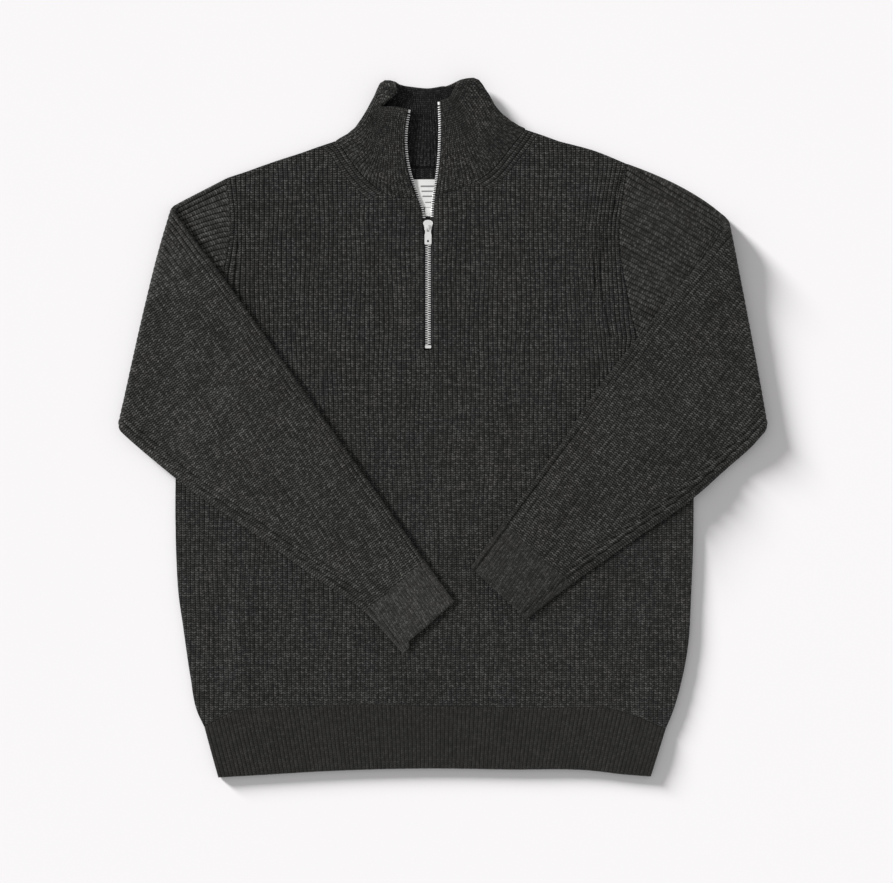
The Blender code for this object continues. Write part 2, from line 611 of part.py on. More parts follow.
class SleeveShape:
    def __init__(self, side):
        self.tip, self.along, self.across, self.fold_at, self.fold_out = (
            np.array(SLEEVES[side][key]) for key in ("tip", "along", "across", "fold_at", "fold_out"))
        self.table = SLEEVES[side]
        square = np.array([-self.fold_out[1], self.fold_out[0]])
        self.fold_line = square * np.sign(square @ self.across)
        seam = run_through(self.table["armhole"], CURVE_STEP) - self.tip
        self.seam = np.column_stack([seam @ self.across, seam @ self.along])

    def read(self, key, at):
        rows = np.array(self.table[key])
        return smooth(rows[:, 0], rows[:, 1], at)

    # "Along" for each "across" just outside the armhole, where the seam's gap is measured square to it.
    def armhole(self, across):
        slope = np.gradient(self.seam[:, 1], self.seam[:, 0])
        along = self.seam[:, 1] + ARMHOLE_ALLOWANCE * SEAM_GAP * np.hypot(1, slope)
        return np.interp(across, self.seam[:, 0], along)

    # "Along" for each "across" on the line that lies a distance past the fold.
    def past_fold(self, across, distance):
        start = self.tip - self.fold_at
        out_along = self.along @ self.fold_out
        out_across = self.across @ self.fold_out
        return (distance - start @ self.fold_out - across * out_across) / out_along

    def cuff_seam(self, across):
        at, slope = self.table["cuff_seam"]
        return at + slope * across

    # The rows from armhole to cuff seam, as functions of "across".
    def rows(self):
        rows = [self.armhole]
        for share in CAP_SHARES:
            rows.append(lambda a, s=share: (1 - s) * self.armhole(a) + s * self.past_fold(a, 0.0))
        for angle in BEND_ANGLES:
            distance = math.radians(angle) * FOLD_RADIUS
            rows.append(lambda a, d=distance: self.past_fold(a, d))
        end = math.pi * FOLD_RADIUS
        for share in SLEEVE_SHARES:
            rows.append(lambda a, s=share: (1 - s) * self.past_fold(a, end) + s * self.cuff_seam(a))
        return rows

    # The two ends of a row, where it meets the overarm and underarm edges. Each round halves the error.
    def row_ends(self, row, rounds=40):
        over, under = 0.0, 0.10
        for _ in range(rounds):
            over = 0.5 * over + 0.5 * float(self.read("overarm", [float(row(np.array([over]))[0])])[0])
            under = 0.5 * under + 0.5 * float(self.read("underarm", [float(row(np.array([under]))[0])])[0])
        return over, under

    # Bends plan points with a height above the sleeve's own floor round the fold, onto what lies below.
    def bend(self, along, across, height):
        plan = self.tip + np.outer(along, self.along) + np.outer(across, self.across)
        past = (plan - self.fold_at) @ self.fold_out
        end = math.pi * FOLD_RADIUS
        angle = np.clip(past / FOLD_RADIUS, 0, math.pi)
        radius = FOLD_AXIS - height
        turned = np.where(past > 0, radius * np.sin(angle), past) - np.maximum(past - end, 0)
        z = np.where(past > 0, FOLD_AXIS - radius * np.cos(angle), height)
        down_fold = (plan - self.fold_at) @ self.fold_line
        bow = self.read("bow", down_fold) * (1 - ease(np.abs(past - end / 2) / BOW_REACH))
        place = plan + np.outer(turned - past + bow, self.fold_out)
        beyond = np.maximum(past - end, 0)
        under = crown_height(place[:, 0], place[:, 1]) + relief(SAGS, place[:, 0], place[:, 1])
        lift = under + REST_GAP - (2 * FOLD_AXIS - STACK)
        return np.column_stack([place, z + lift * ease(beyond / BEND_LIFT_REACH)])


ROUND = 1.0  # a place past the end of every sleeve row, where its ring closes


# One ring of a flattened tube. Its upper layer before the fold is the lower one after it.
def tube_ring(over, under, front_places, back_places, front_height, back_height, cord, middle):
    turn = cord * (1 - math.sqrt(0.5))
    share = (1 + math.sqrt(0.5)) / 2
    top, low = front_height(np.array([over])), back_height(np.array([over]))
    high = float(low[0] + (top[0] - low[0]) * share)
    deep = float(low[0] + (top[0] - low[0]) * (1 - share))
    places, across, heights = [over], [over], [middle]

    def add(at, height, place):
        places.append(place)
        across.append(at)
        heights.append(height)

    add(over + turn, high, over + turn)
    for at, height in zip(front_places, front_height(front_places)):
        add(at, height, at)
    add(under - turn, high, under - turn)
    add(under, middle, under)
    add(under - turn, deep, ROUND - under + turn)
    for at, height in zip(back_places[::-1], back_height(back_places[::-1])):
        add(at, height, ROUND - at)
    add(over + turn, deep, ROUND - over - turn)
    return np.array(places), np.array(across), np.array(heights)


def columns_between(low, high, half_pitch, is_ribbed):
    step = half_pitch if is_ribbed else COARSE_STEP
    margin = RIB_MARGIN * half_pitch
    first, last = math.ceil((low + margin) / step), math.floor((high - margin) / step)
    index = np.arange(first, last + 1)
    valley = (index % 2) * float(is_ribbed)
    ends = np.array([low, high])
    at = np.concatenate([ends[:1], index * step, ends[1:]])
    return at, np.concatenate([[0], valley, [0]])


def swell_of(over, under, at, rise):
    return rise * np.sin(np.pi * np.clip((at - over) / (under - over), 0, 1))


def sleeve_rings(shape, rows, pitch, depth, ribs_front, ribs_back, swells):
    outer, inner = [], []
    for row, front, back, rise in zip(rows, ribs_front, ribs_back, swells):
        over, under = shape.row_ends(row)
        low, high = over + SLEEVE_CORD, under - SLEEVE_CORD
        front_at, front_valley = columns_between(low, high, pitch / 2, front is not None)
        back_at, back_valley = columns_between(low, high, pitch / 2, back is not None)
        front_dip = dict(zip(front_at, front_valley * depth * (front or 0)))
        back_dip = dict(zip(back_at, back_valley * depth * (back or 0)))

        def front_height(at):
            return np.array([STACK - front_dip.get(a, 0.0) for a in at])

        def back_height(at):
            lift = swell_of(over, under, at, rise)
            return np.array([back_dip.get(a, 0.0) for a in at]) - lift

        places, across, heights = tube_ring(
            over, under, front_at, back_at, front_height, back_height, SLEEVE_CORD, STACK / 2)
        outer.append((places, shape.bend(row(across), across, heights)))
        over, under = over + WALL, under - WALL
        at, _ = columns_between(over + INNER_INSET, under - INNER_INSET, COARSE_STEP, False)

        def inner_front(at):
            return np.full(len(at), STACK - WALL)

        def inner_back(at):
            return WALL - swell_of(over, under, at, rise)

        places, across, heights = tube_ring(
            over, under, at, at, inner_front, inner_back, INNER_CORD, STACK / 2)
        inner.append((places, shape.bend(row(across), across, heights)))
    return outer, inner


def make_sleeve(side):
    shape = SleeveShape(side)
    rows = shape.rows()
    before = len(CAP_RIBS)
    bend = len(BEND_ANGLES)
    after = len(SLEEVE_SHARES)
    ribs_front = [*CAP_RIBS] + [None] * (bend + after)
    ribs_back = [None] * (before + bend - len(BEND_RIBS)) + [*BEND_RIBS] + [1.0] * after
    swells = [0.0] * (before + bend) + [SWELL_IN * SLEEVE_SWELL] + [SLEEVE_SWELL] * (after - 3)
    swells += [SWELL_OUT * SLEEVE_SWELL, CUFF_SWELL]
    outer, inner = sleeve_rings(shape, rows, RIB_PITCH, RIB_DEPTH, ribs_front, ribs_back, swells)
    for places, points in outer[before + bend:] + inner[before + bend:]:
        is_top = places > ROUND / 2
        points[is_top, 2] += relief(SLEEVE_FOLDS, points[is_top, 0], points[is_top, 1])
    put("sleeve_" + side, wall_mesh("sleeve_" + side, outer, inner, None, ROUND), CHARCOAL)


def make_cuff(side):
    shape = SleeveShape(side)
    rows = []
    for share in CUFF_SHARES:
        start = 2 * SEAM_GAP + share * CUFF_LENGTH
        rows.append(lambda a, s=start: shape.cuff_seam(a) + s)
    ribs = [1.0] * len(rows)
    swells = [CUFF_SWELL] * len(rows)
    outer, inner = sleeve_rings(shape, rows, FINE_PITCH, FINE_DEPTH, [None] * len(rows), ribs, swells)
    put("cuff_" + side, wall_mesh("cuff_" + side, outer, inner, None, ROUND), CHARCOAL_RIB)


# ---- Collar ----

def collar_columns(half_pitch, is_dense):
    count = int(collar_surface.length / half_pitch / 2) * 2
    places = np.linspace(0, collar_surface.length, count + 1)
    index = np.arange(count + 1)
    kept = is_dense(places) | (index % COLLAR_COARSE == 0) | (index == count)
    amount = np.where(is_dense(places), index % 2, 0)
    return places[kept], amount[kept]


def make_collar():
    right_turn, left_turn = collar_surface.turns
    reach = COLLAR_REACH

    def outside_shows(at):
        return (at < right_turn + reach) | (at > left_turn - reach)

    def inside_shows(at):
        near_turn = np.minimum(np.abs(at - right_turn), np.abs(at - left_turn)) < reach
        return ((at > right_turn + 0.5 * reach) & (at < left_turn - 0.5 * reach)) | near_turn

    half = FINE_PITCH / 2
    outer, inner = [], []
    for rows, shows, side in ((outer, outside_shows, 1), (inner, inside_shows, -1)):
        places, valley = collar_columns(half, shows)
        is_ribbed = (places < right_turn) | (places > left_turn)
        if side < 0:
            is_ribbed = (places > right_turn + reach) & (places < left_turn - reach)
        out = side * (WALL / 2 - FINE_DEPTH * valley * is_ribbed)
        for share in COLLAR_SHARES:
            _, _, normal = collar_surface.frame(places, share)
            rows.append((places, collar_surface.at(places, share) + normal * out[:, None]))
    mesh = wall_mesh("collar", outer, inner, (COLLAR_SHARES, COLLAR_SHARES))
    for vertex in mesh.vertices:
        vertex.co.z = max(vertex.co.z, 0.0)
    put("collar", mesh, CHARCOAL_RIB)


# ---- Zip ----

# The teeth's line from the chain end up to the rim, as (point, towards the cloth, up) for each place.
def zip_line(side):
    teeth = {"right": 3, "left": 4}[side]
    towards = {"right": -1.0, "left": 1.0}[side]
    line = []
    for row in ZIP_COURSE[::-1]:
        point = np.array([row[teeth], row[1], TAPE_Z])
        line.append((point, np.array([towards, 0, 0]), np.array([0.0, 0, 1])))
    end = 0.0 if side == "right" else collar_surface.length
    edge_gap = abs(ZIP_COURSE[0][teeth] - ZIP_COURSE[0][2 if side == "right" else 5])
    drop = WALL / 2 + SEAM_GAP + TAPE_WALL / 2
    for share in TAPE_SHARES:
        at = collar_surface.at(np.array([end]), share)[0]
        run, _, normal = (part[0] for part in collar_surface.frame(np.array([end]), share))
        inwards = run if side == "right" else -run
        line.append((at - inwards * edge_gap - normal * drop, inwards, normal))
    return line


def make_tape(side):
    half_bead, half_tape = BEAD_HEIGHT / 2, TAPE_WALL / 2
    half_width = BEAD_WIDTH / 2
    flat_start, flat_end = (share * half_width for share in BEAD_FLAT)
    side_height = BEAD_SIDE * half_bead
    section = [
        (-half_width, -side_height), (flat_start, -half_bead), (flat_end, -half_bead),
        (half_width, -half_tape), (TAPE_WIDTH, -half_tape), (TAPE_WIDTH, half_tape),
        (half_width, half_tape), (flat_end, half_bead), (flat_start, half_bead),
        (-half_width, side_height),
    ]
    rings = []
    for point, inwards, up in zip_line(side):
        rings.append([point + inwards * s + up * t for s, t in section])
    put("zip_tape_" + side, ring_mesh("zip_tape_" + side, rings), TAPE_BLACK)


def make_top_stop(side):
    point, inwards, up = zip_line(side)[-1]
    before = zip_line(side)[-2][0]
    ahead = (point - before) / np.linalg.norm(point - before)
    inwards = inwards - ahead * (inwards @ ahead)
    inwards /= np.linalg.norm(inwards)
    up = np.cross(ahead, inwards)
    ring = rounded_box(0, 0, *TOP_STOP)
    rings = []
    for along in (2 * SEAM_GAP, 2 * SEAM_GAP + STOP_LENGTH):
        rings.append([point + ahead * along + inwards * s + up * t for s, t in ring])
    put("zip_top_stop_" + side, ring_mesh("zip_top_stop_" + side, rings), NICKEL, 0.3, 1.0)


def make_bottom_stop():
    y = ZIP_COURSE[-1][1] - SEAM_GAP - STOP_LENGTH / 2
    width, height, corner = BOTTOM_STOP
    outline = rounded_box(ZIP_X, y, width, STOP_LENGTH, corner)
    mesh = plate_mesh("zip_bottom_stop", [outline], TAPE_Z - height / 2, TAPE_Z + height / 2)
    put("zip_bottom_stop", mesh, NICKEL, 0.3, 1.0)


def slider_heights():
    top = TAPE_Z + BEAD_HEIGHT / 2 + SEAM_GAP
    low = TAPE_Z - BEAD_HEIGHT / 2 - SEAM_GAP
    return low - LOWER_PLATE[1] * PLATE_WALL, low, top, top + PLATE_WALL


def pull_axis_z():
    return slider_heights()[3] + SEAM_GAP + PULL_WALL / 2


def make_slider():
    bottom, low, top, crown = slider_heights()
    outline = SLIDER_OUTLINE + [(-x, y) for x, y in SLIDER_OUTLINE[::-1][1:-1]]
    mesh = plate_mesh("zip_slider", [outline], top, crown)
    upper = put("zip_slider", mesh, NICKEL, 0.28, 1.0, (ZIP_X, SLIDER_Y, 0))
    lower_outline = [(LOWER_PLATE[0] * x, LOWER_PLATE[0] * y) for x, y in outline]
    lower = cutter("slider lower plate", plate_mesh("slider lower plate", [lower_outline], bottom, low))
    post_outline = rounded_box(0, POST_Y, *SLIDER_POST)
    post_mesh = plate_mesh("slider post", [post_outline], bottom + POST_INSET, crown - POST_INSET)
    post = cutter("slider post", post_mesh)
    inside, outside = BAIL_RADIUS - BAIL_BAR / 2, BAIL_RADIUS + BAIL_BAR / 2
    foot = pull_axis_z() - crown + BAIL_SUNK
    bail_outline = arc(0, 0, outside, 0, 180, 13) + [(-outside, -foot), (-inside, -foot)]
    bail_outline += arc(0, 0, inside, 180, 0, 13) + [(inside, -foot), (outside, -foot)]
    bail = cutter("slider bail", plate_mesh("slider bail", [bail_outline], -BAIL_WIDTH / 2, BAIL_WIDTH / 2))
    bail.rotation_euler = (math.radians(90), 0, math.radians(90))
    lower.location = post.location = (ZIP_X, SLIDER_Y, 0)
    bail.location = (ZIP_X, PULL_AXIS_Y, pull_axis_z())
    for other in (post, lower, bail):
        add_boolean(upper, "UNION", other)


def make_pull():
    half = PULL_WIDTH / 2
    outline = [(-half * share, y) for share, y in PULL_NECK]
    outline += arc(PULL_CORNER - half, PULL_CORNER - PULL_LENGTH, PULL_CORNER, 180, 270, 4)
    outline += [(-x, y) for x, y in outline[::-1]]
    openings = [rounded_box(*PULL_WINDOW), rounded_box(*PULL_HOLE)]
    mesh = plate_mesh("zip_pull", [outline, *openings], -PULL_WALL / 2, PULL_WALL / 2)
    put("zip_pull", mesh, NICKEL, 0.25, 1.0, (ZIP_X, PULL_AXIS_Y, pull_axis_z()))


# ---- Labels ----

def make_labels():
    low = WALL + SEAM_GAP
    for name, x, y, width, length in LABELS:
        outline = rounded_box(x, y, width, length, LABEL_CORNER)
        put(name, plate_mesh(name, [outline], low, low + LABEL_WALL), LABEL_WHITE, 0.6)


for old in list(bpy.data.objects):
    bpy.data.objects.remove(old)
sweater = bpy.data.collections.new("quarter zip sweater")
cutters = bpy.data.collections.new("cutters")
for collection in (sweater, cutters):
    bpy.context.scene.collection.children.link(collection)
garment = bpy.data.objects.new("garment", None)
sweater.objects.link(garment)

make_back()
make_front()
make_hem()
make_collar()
for side in ("right", "left"):
    make_sleeve(side)
    make_cuff(side)
    make_tape(side)
    make_top_stop(side)
make_bottom_stop()
make_slider()
make_pull()
make_labels()
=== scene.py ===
# Quarter zip sweater in a chunky marl rib knit, laid flat with both sleeves folded over its front.
# Metres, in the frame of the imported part. Left and right are the wearer's, so right is at -X.

import math

import bmesh
import bpy
import mathutils
import numpy as np
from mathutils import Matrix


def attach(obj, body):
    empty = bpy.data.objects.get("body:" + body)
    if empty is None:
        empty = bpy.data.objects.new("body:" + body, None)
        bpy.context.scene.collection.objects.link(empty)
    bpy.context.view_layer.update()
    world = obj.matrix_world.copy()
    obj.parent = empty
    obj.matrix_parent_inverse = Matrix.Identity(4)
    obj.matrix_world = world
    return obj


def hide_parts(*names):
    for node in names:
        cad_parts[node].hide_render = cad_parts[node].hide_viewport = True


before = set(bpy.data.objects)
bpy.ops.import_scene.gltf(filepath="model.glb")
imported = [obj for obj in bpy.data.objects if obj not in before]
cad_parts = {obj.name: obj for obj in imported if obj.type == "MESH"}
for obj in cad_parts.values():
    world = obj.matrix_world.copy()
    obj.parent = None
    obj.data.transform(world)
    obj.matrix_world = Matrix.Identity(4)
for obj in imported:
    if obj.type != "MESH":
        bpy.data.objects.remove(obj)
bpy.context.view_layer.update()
print("frame loaded")

cloth = {
    "wall": 0.0030,
    "seamGap": 0.0003,
    "restGap": 0.0010,  # between the front and a sleeve that lies on it
    "stack": 0.0063,  # back and front lying on each other
    "raised": 0.0094,  # crown of the front along the zip and the neckline
    "course": 0.00255,  # height of a stitch in the body
    "fineCourse": 0.0024,
    "columnGap": 0.0002,  # between the end of a piece and its nearest rib column
    "sharpFrom": math.radians(70),  # edges bent more than this stay sharp
}
ribProfile = (0.0, 0.07, 0.18, 0.34, 0.50, 0.66, 0.82, 0.93)  # where a rib has its columns of points
ribPowers = (2.6, 0.55)  # the roundness of a rib's section, which 2 and 0.5 would make a half circle
tiny = 1e-12  # keeps a division from a zero length
samePlace = 1e-7  # columns closer than this meet in one edge


def ease(x):
    x = np.clip(x, 0.0, 1.0)
    return x * x * (3 - 2 * x)


def rising(x, start, over):  # from 0 to 1 over a stretch
    return ease((x - start) / over)


def smooth(knots, values, at):  # a smooth curve through knots
    knots = np.asarray(knots, float)
    values = np.asarray(values, float)
    at = np.clip(np.asarray(at, float), knots[0], knots[-1])
    slopes = np.gradient(values, knots, axis=0)
    i = np.clip(np.searchsorted(knots, at, side="right") - 1, 0, len(knots) - 2)
    step = knots[i + 1] - knots[i]
    t = (at - knots[i]) / step
    if values.ndim > 1:
        t = t.reshape(-1, *[1] * (values.ndim - 1))
        step = step.reshape(t.shape)
    rise = t * t * (3 - 2 * t)
    bend = t * (1 - t)
    start = (1 - rise) * values[i] + bend * (1 - t) * step * slopes[i]
    return start + rise * values[i + 1] - bend * t * step * slopes[i + 1]


def runThrough(points, spacing=0.004):
    points = np.asarray(points, float)
    knots = np.concatenate([[0], np.cumsum(np.linalg.norm(np.diff(points, axis=0), axis=1))])
    count = max(2, int(math.ceil(knots[-1] / spacing)) + 1)
    return smooth(knots, points, np.linspace(0, knots[-1], count))


def distanceFrom(line, x, y):
    line = np.asarray(line, float)
    nearest = np.full(np.shape(x), np.inf)
    for (x0, y0), (x1, y1) in zip(line[:-1], line[1:]):
        dx, dy = x1 - x0, y1 - y0
        t = np.clip(((x - x0) * dx + (y - y0) * dy) / (dx * dx + dy * dy + tiny), 0, 1)
        nearest = np.minimum(nearest, np.hypot(x - x0 - t * dx, y - y0 - t * dy))
    return nearest


def isInside(outline, x, y):
    found = np.zeros(np.shape(x), bool)
    for (x0, y0), (x1, y1) in zip(outline, np.roll(outline, -1, axis=0)):
        crosses = (y0 > y) != (y1 > y)
        found ^= crosses & (x < x0 + (y - y0) * (x1 - x0) / (y1 - y0 if y1 != y0 else tiny))
    return found


def relief(table, x, y):  # soft ridges and troughs along short lines
    total = np.zeros(np.shape(x))
    for _, x0, y0, x1, y1, halfWidth, height in table:
        near = distanceFrom([(x0, y0), (x1, y1)], x, y) / halfWidth
        total += height * np.where(near < 1, (1 - near**2) ** 2, 0)
    return total


def ribHeight(share):  # 0 in the valleys, 1 over the crown
    return (1 - np.minimum(np.abs(2 * share - 1), 1) ** ribPowers[0]) ** ribPowers[1]


def wander(waves, x, y):  # each wave's size, its turns along x and y, and where it starts
    return sum(size * np.sin(alongX * x + alongY * y + start) for size, alongX, alongY, start in waves)


def ribColumns(low, high, pitch, origin=0.0):  # places and rib numbers between two ends, ends included
    first, last = math.floor((low - origin) / pitch), math.ceil((high - origin) / pitch)
    ribs = (np.arange(first, last + 1)[:, None] + np.array(ribProfile)[None, :]).ravel()
    places = origin + ribs * pitch
    kept = (places > low + cloth["columnGap"]) & (places < high - cloth["columnGap"])
    places = np.concatenate([[low], places[kept], [high]])
    return places, (places - origin) / pitch


def edgeDrop(distance, radius, depth):  # how far a cloth edge rounds off
    left = np.clip(1 - distance / radius, 0, 1)
    return depth * (1 - np.sqrt(1 - left**2))


class ClothMesh:  # rows of points with places, joined into a skin with its own stitch coordinates
    def __init__(self):
        self.points = []
        self.uvs = []
        self.faces = []
        self.corners = []
        self.kinds = []
        self.kind = 0  # which of the piece's materials the next faces get

    def row(self, places, points, uvs, closing=None):
        first = len(self.points)
        self.points += [tuple(p) for p in points]
        vertexIds = list(range(first, len(self.points)))
        firstUv = len(self.uvs)
        self.uvs += [tuple(p) for p in uvs]
        uvIds = list(range(firstUv, len(self.uvs)))
        places = [float(p) for p in places]
        if closing is not None:
            self.uvs.append(tuple(closing[1]))
            places.append(float(closing[0]))
            vertexIds.append(first)
            uvIds.append(len(self.uvs) - 1)
        return places, vertexIds, uvIds

    def add(self, *corners):
        self.faces.append([c[0] for c in corners])
        self.kinds.append(self.kind)
        self.corners += [c[1] for c in corners]

    def stitch(self, first, second):
        placesA, idsA, uvsA = first
        placesB, idsB, uvsB = second
        i = j = 0
        lastA, lastB = len(placesA) - 1, len(placesB) - 1
        while i < lastA or j < lastB:
            here, there = (idsA[i], uvsA[i]), (idsB[j], uvsB[j])
            if i < lastA and j < lastB and abs(placesA[i + 1] - placesB[j + 1]) < samePlace:
                self.add(here, there, (idsB[j + 1], uvsB[j + 1]), (idsA[i + 1], uvsA[i + 1]))
                i += 1
                j += 1
            elif j == lastB or (i < lastA and placesA[i + 1] <= placesB[j + 1]):
                self.add(here, there, (idsA[i + 1], uvsA[i + 1]))
                i += 1
            else:
                self.add(here, there, (idsB[j + 1], uvsB[j + 1]))
                j += 1

    def skin(self, rows):
        for first, second in zip(rows[:-1], rows[1:]):
            self.stitch(first, second)

    def piece(self, name, *materials):
        mesh = bpy.data.meshes.new(name)
        mesh.from_pydata(self.points, [], self.faces)
        layer = mesh.uv_layers.new(name="knit")
        layer.data.foreach_set("uv", np.array(self.uvs, np.float32)[self.corners].ravel())
        piece = finishPiece(name, mesh, materials, cloth["sharpFrom"])
        if len(materials) > 1:
            mesh.polygons.foreach_set("material_index", self.kinds)
        return piece


# Skins both sides of a wall and closes its four edges
def closeWall(mesh, outer, inner, outerPlaces=None, innerPlaces=None):
    mesh.skin(outer)
    mesh.kind = 1
    mesh.skin(inner)
    mesh.kind = 0
    outerPlaces = range(len(outer)) if outerPlaces is None else outerPlaces
    innerPlaces = range(len(inner)) if innerPlaces is None else innerPlaces
    for end in (0, -1):
        mesh.stitch(outer[end], inner[end])
        mesh.stitch([list(outerPlaces), [r[1][end] for r in outer], [r[2][end] for r in outer]],
                    [list(innerPlaces), [r[1][end] for r in inner], [r[2][end] for r in inner]])


def finishPiece(name, mesh, materials, sharpAngle):
    work = bmesh.new()
    work.from_mesh(mesh)
    bmesh.ops.recalc_face_normals(work, faces=work.faces)
    work.to_mesh(mesh)
    work.free()
    mesh.materials.clear()
    for material in materials:
        mesh.materials.append(material)
    mesh.shade_smooth()
    mesh.set_sharp_from_angle(angle=sharpAngle)
    piece = bpy.data.objects.new(name, mesh)
    bpy.context.scene.collection.objects.link(piece)
    print("made", name, len(mesh.polygons), "faces")
    return piece


def place(piece, body, nodes):
    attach(piece, body)
    if nodes:
        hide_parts(*nodes)


class Nodes:  # short words for wiring a node tree
    def __init__(self, tree):
        self.tree = tree

    def new(self, kind, **values):
        node = self.tree.nodes.new(kind)
        for key, value in values.items():
            setattr(node, key, value)
        return node

    def wire(self, source, target):
        if isinstance(source, (int, float, tuple)):
            target.default_value = source
        else:
            self.tree.links.new(source, target)

    def math(self, operation, a, b=0.0, c=0.0):
        node = self.new("ShaderNodeMath", operation=operation)
        for value, socket in zip((a, b, c), node.inputs):
            self.wire(value, socket)
        return node.outputs[0]

    def ramp(self, value, low, high, start=0.0, end=1.0, smoothly=True):
        node = self.new("ShaderNodeMapRange", interpolation_type="SMOOTHSTEP" if smoothly else "LINEAR")
        values = {"Value": value, "From Min": low, "From Max": high, "To Min": start, "To Max": end}
        for key, given in values.items():
            self.wire(given, node.inputs[key])
        return node.outputs[0]

    def mix(self, share, a, b, blend="MIX"):
        node = self.new("ShaderNodeMix", data_type="RGBA", blend_type=blend)
        self.wire(share, node.inputs[0])
        self.wire(a, node.inputs[6])
        self.wire(b, node.inputs[7])
        return node.outputs[2]

    def vector(self, x, y, z=0.0):
        node = self.new("ShaderNodeCombineXYZ")
        for value, socket in zip((x, y, z), node.inputs):
            self.wire(value, socket)
        return node.outputs[0]

    def noise(self, vector, scale, detail=2.0, roughness=0.5):
        node = self.new("ShaderNodeTexNoise")
        self.wire(vector, node.inputs["Vector"])
        node.inputs["Scale"].default_value = scale
        node.inputs["Detail"].default_value = detail
        node.inputs["Roughness"].default_value = roughness
        return node.outputs["Fac"]


def nodeGroup(name, inputs, outputs):
    group = bpy.data.node_groups.new(name, "ShaderNodeTree")
    for title, kind in inputs:
        group.interface.new_socket(title, in_out="INPUT", socket_type=kind)
    for title, kind in outputs:
        group.interface.new_socket(title, in_out="OUTPUT", socket_type=kind)
    nodes = Nodes(group)
    return group, nodes, nodes.new("NodeGroupInput").outputs, nodes.new("NodeGroupOutput").inputs


# How a stitch is drawn on its rib. A noise has its steps for each rib and each course, its detail and its
# roughness.
stitchForm = {
    "wander": (0.30, 0.11, 3.0, 0.5),
    "fuzz": (7.0, 4.0, 3.0, 0.7),
    "alongCourses": (0.09, 0.75, 2.0, 0.6),
    "alongRibs": (1.3, 0.03, 2.0, 0.6),
    "parting": (0.20, 0.60),  # its reach from the crown, and what it leaves of a stitch there
    "fading": (0.70, 0.45),  # where it starts towards the valley, and what it leaves of a stitch there
    # stitchEdge and valley shape the masks for painted shade: in the gaps between stitches, and near the
    # rib valleys
    "stitchEdge": (0.15, 0.95),
    "valley": (0.60, 0.96),
    "fuzzHeight": 0.40,
    "fleckPower": 2.0,
}


def makeStitchGroup():
    # Rows of stitches over each rib: "Coords" counts ribs in X and courses in Y
    group, n, given, result = nodeGroup(
        "ribStitches",
        [("Coords", "NodeSocketVector"), ("Slant", "NodeSocketFloat"), ("Uneven", "NodeSocketFloat")],
        [("Height", "NodeSocketFloat"), ("Stitch", "NodeSocketFloat"), ("Fleck", "NodeSocketFloat"),
         ("Streak", "NodeSocketFloat"), ("Valley", "NodeSocketFloat")])
    split = n.new("ShaderNodeSeparateXYZ")
    n.wire(given["Coords"], split.inputs[0])
    u, v = split.outputs[0], split.outputs[1]

    def spread(key):
        perRib, perCourse, detail, roughness = stitchForm[key]
        vector = n.vector(n.math("MULTIPLY", u, perRib), n.math("MULTIPLY", v, perCourse))
        return n.noise(vector, 1.0, detail, roughness)

    fromCrown = n.math("ABSOLUTE", n.math("MULTIPLY_ADD", n.math("FRACT", u), 2.0, -1.0))
    uneven = n.math("SUBTRACT", spread("wander"), 0.5)
    moved = n.math("MULTIPLY_ADD", uneven, given["Uneven"], v)
    phase = n.math("SUBTRACT", moved, n.math("MULTIPLY", fromCrown, given["Slant"]))
    strand = n.math("ABSOLUTE", n.math("MULTIPLY_ADD", n.math("FRACT", phase), 2.0, -1.0))
    rounded = n.math("SUBTRACT", 1.0, n.math("MULTIPLY", strand, strand))
    parted = n.ramp(fromCrown, 0.0, stitchForm["parting"][0], stitchForm["parting"][1], 1.0)
    fading = n.ramp(fromCrown, stitchForm["fading"][0], 1.0, 1.0, stitchForm["fading"][1])
    whole = n.math("MULTIPLY", n.math("MULTIPLY", rounded, parted), fading)
    each = n.new("ShaderNodeTexWhiteNoise", noise_dimensions="2D")
    loop = n.vector(n.math("FLOOR", n.math("MULTIPLY", u, 2.0)), n.math("FLOOR", phase))
    n.wire(loop, each.inputs["Vector"])
    bothWays = n.math("ADD", spread("alongCourses"), spread("alongRibs"))
    height = n.math("MULTIPLY_ADD", spread("fuzz"), stitchForm["fuzzHeight"], whole)
    n.wire(height, result["Height"])
    # Stitch drops in the gaps between stitches and Valley rises near a rib valley: both are masks for
    # painted shade
    n.wire(n.ramp(n.math("MULTIPLY", rounded, parted), *stitchForm["stitchEdge"]), result["Stitch"])
    n.wire(n.math("POWER", each.outputs[0], stitchForm["fleckPower"]), result["Fleck"])
    n.wire(n.math("MULTIPLY", bothWays, 0.5), result["Streak"])
    n.wire(n.ramp(fromCrown, *stitchForm["valley"]), result["Valley"])
    return group


mottleForm = {"tone": (1.0, 4.0, 0.6), "hue": (2.3, 3.0, 0.6)}  # scale, detail and roughness


def makeMottleGroup():
    # Broad uneven tone and hue of cloth that has been handled
    group, n, given, result = nodeGroup(
        "mottledTone", [("Scale", "NodeSocketFloat"), ("Amount", "NodeSocketFloat")],
        [("Tone", "NodeSocketFloat"), ("Hue", "NodeSocketFloat")])
    scaled = n.new("ShaderNodeVectorMath", operation="SCALE")
    n.wire(n.new("ShaderNodeTexCoord").outputs["Object"], scaled.inputs[0])
    n.wire(given["Scale"], scaled.inputs["Scale"])
    tone = n.noise(scaled.outputs[0], *mottleForm["tone"])
    n.wire(n.math("MULTIPLY_ADD", n.math("SUBTRACT", tone, 0.5), given["Amount"], 1.0), result["Tone"])
    n.wire(n.noise(scaled.outputs[0], *mottleForm["hue"]), result["Hue"])
    return group


stitchGroup = makeStitchGroup()
mottleGroup = makeMottleGroup()


def plainMaterial(name, roughness, metallic=0.0):
    material = bpy.data.materials.new(name)
    material.use_nodes = True
    shader = material.node_tree.nodes["Principled BSDF"]
    shader.inputs["Roughness"].default_value = roughness
    shader.inputs["Metallic"].default_value = metallic
    return material, shader, Nodes(material.node_tree)


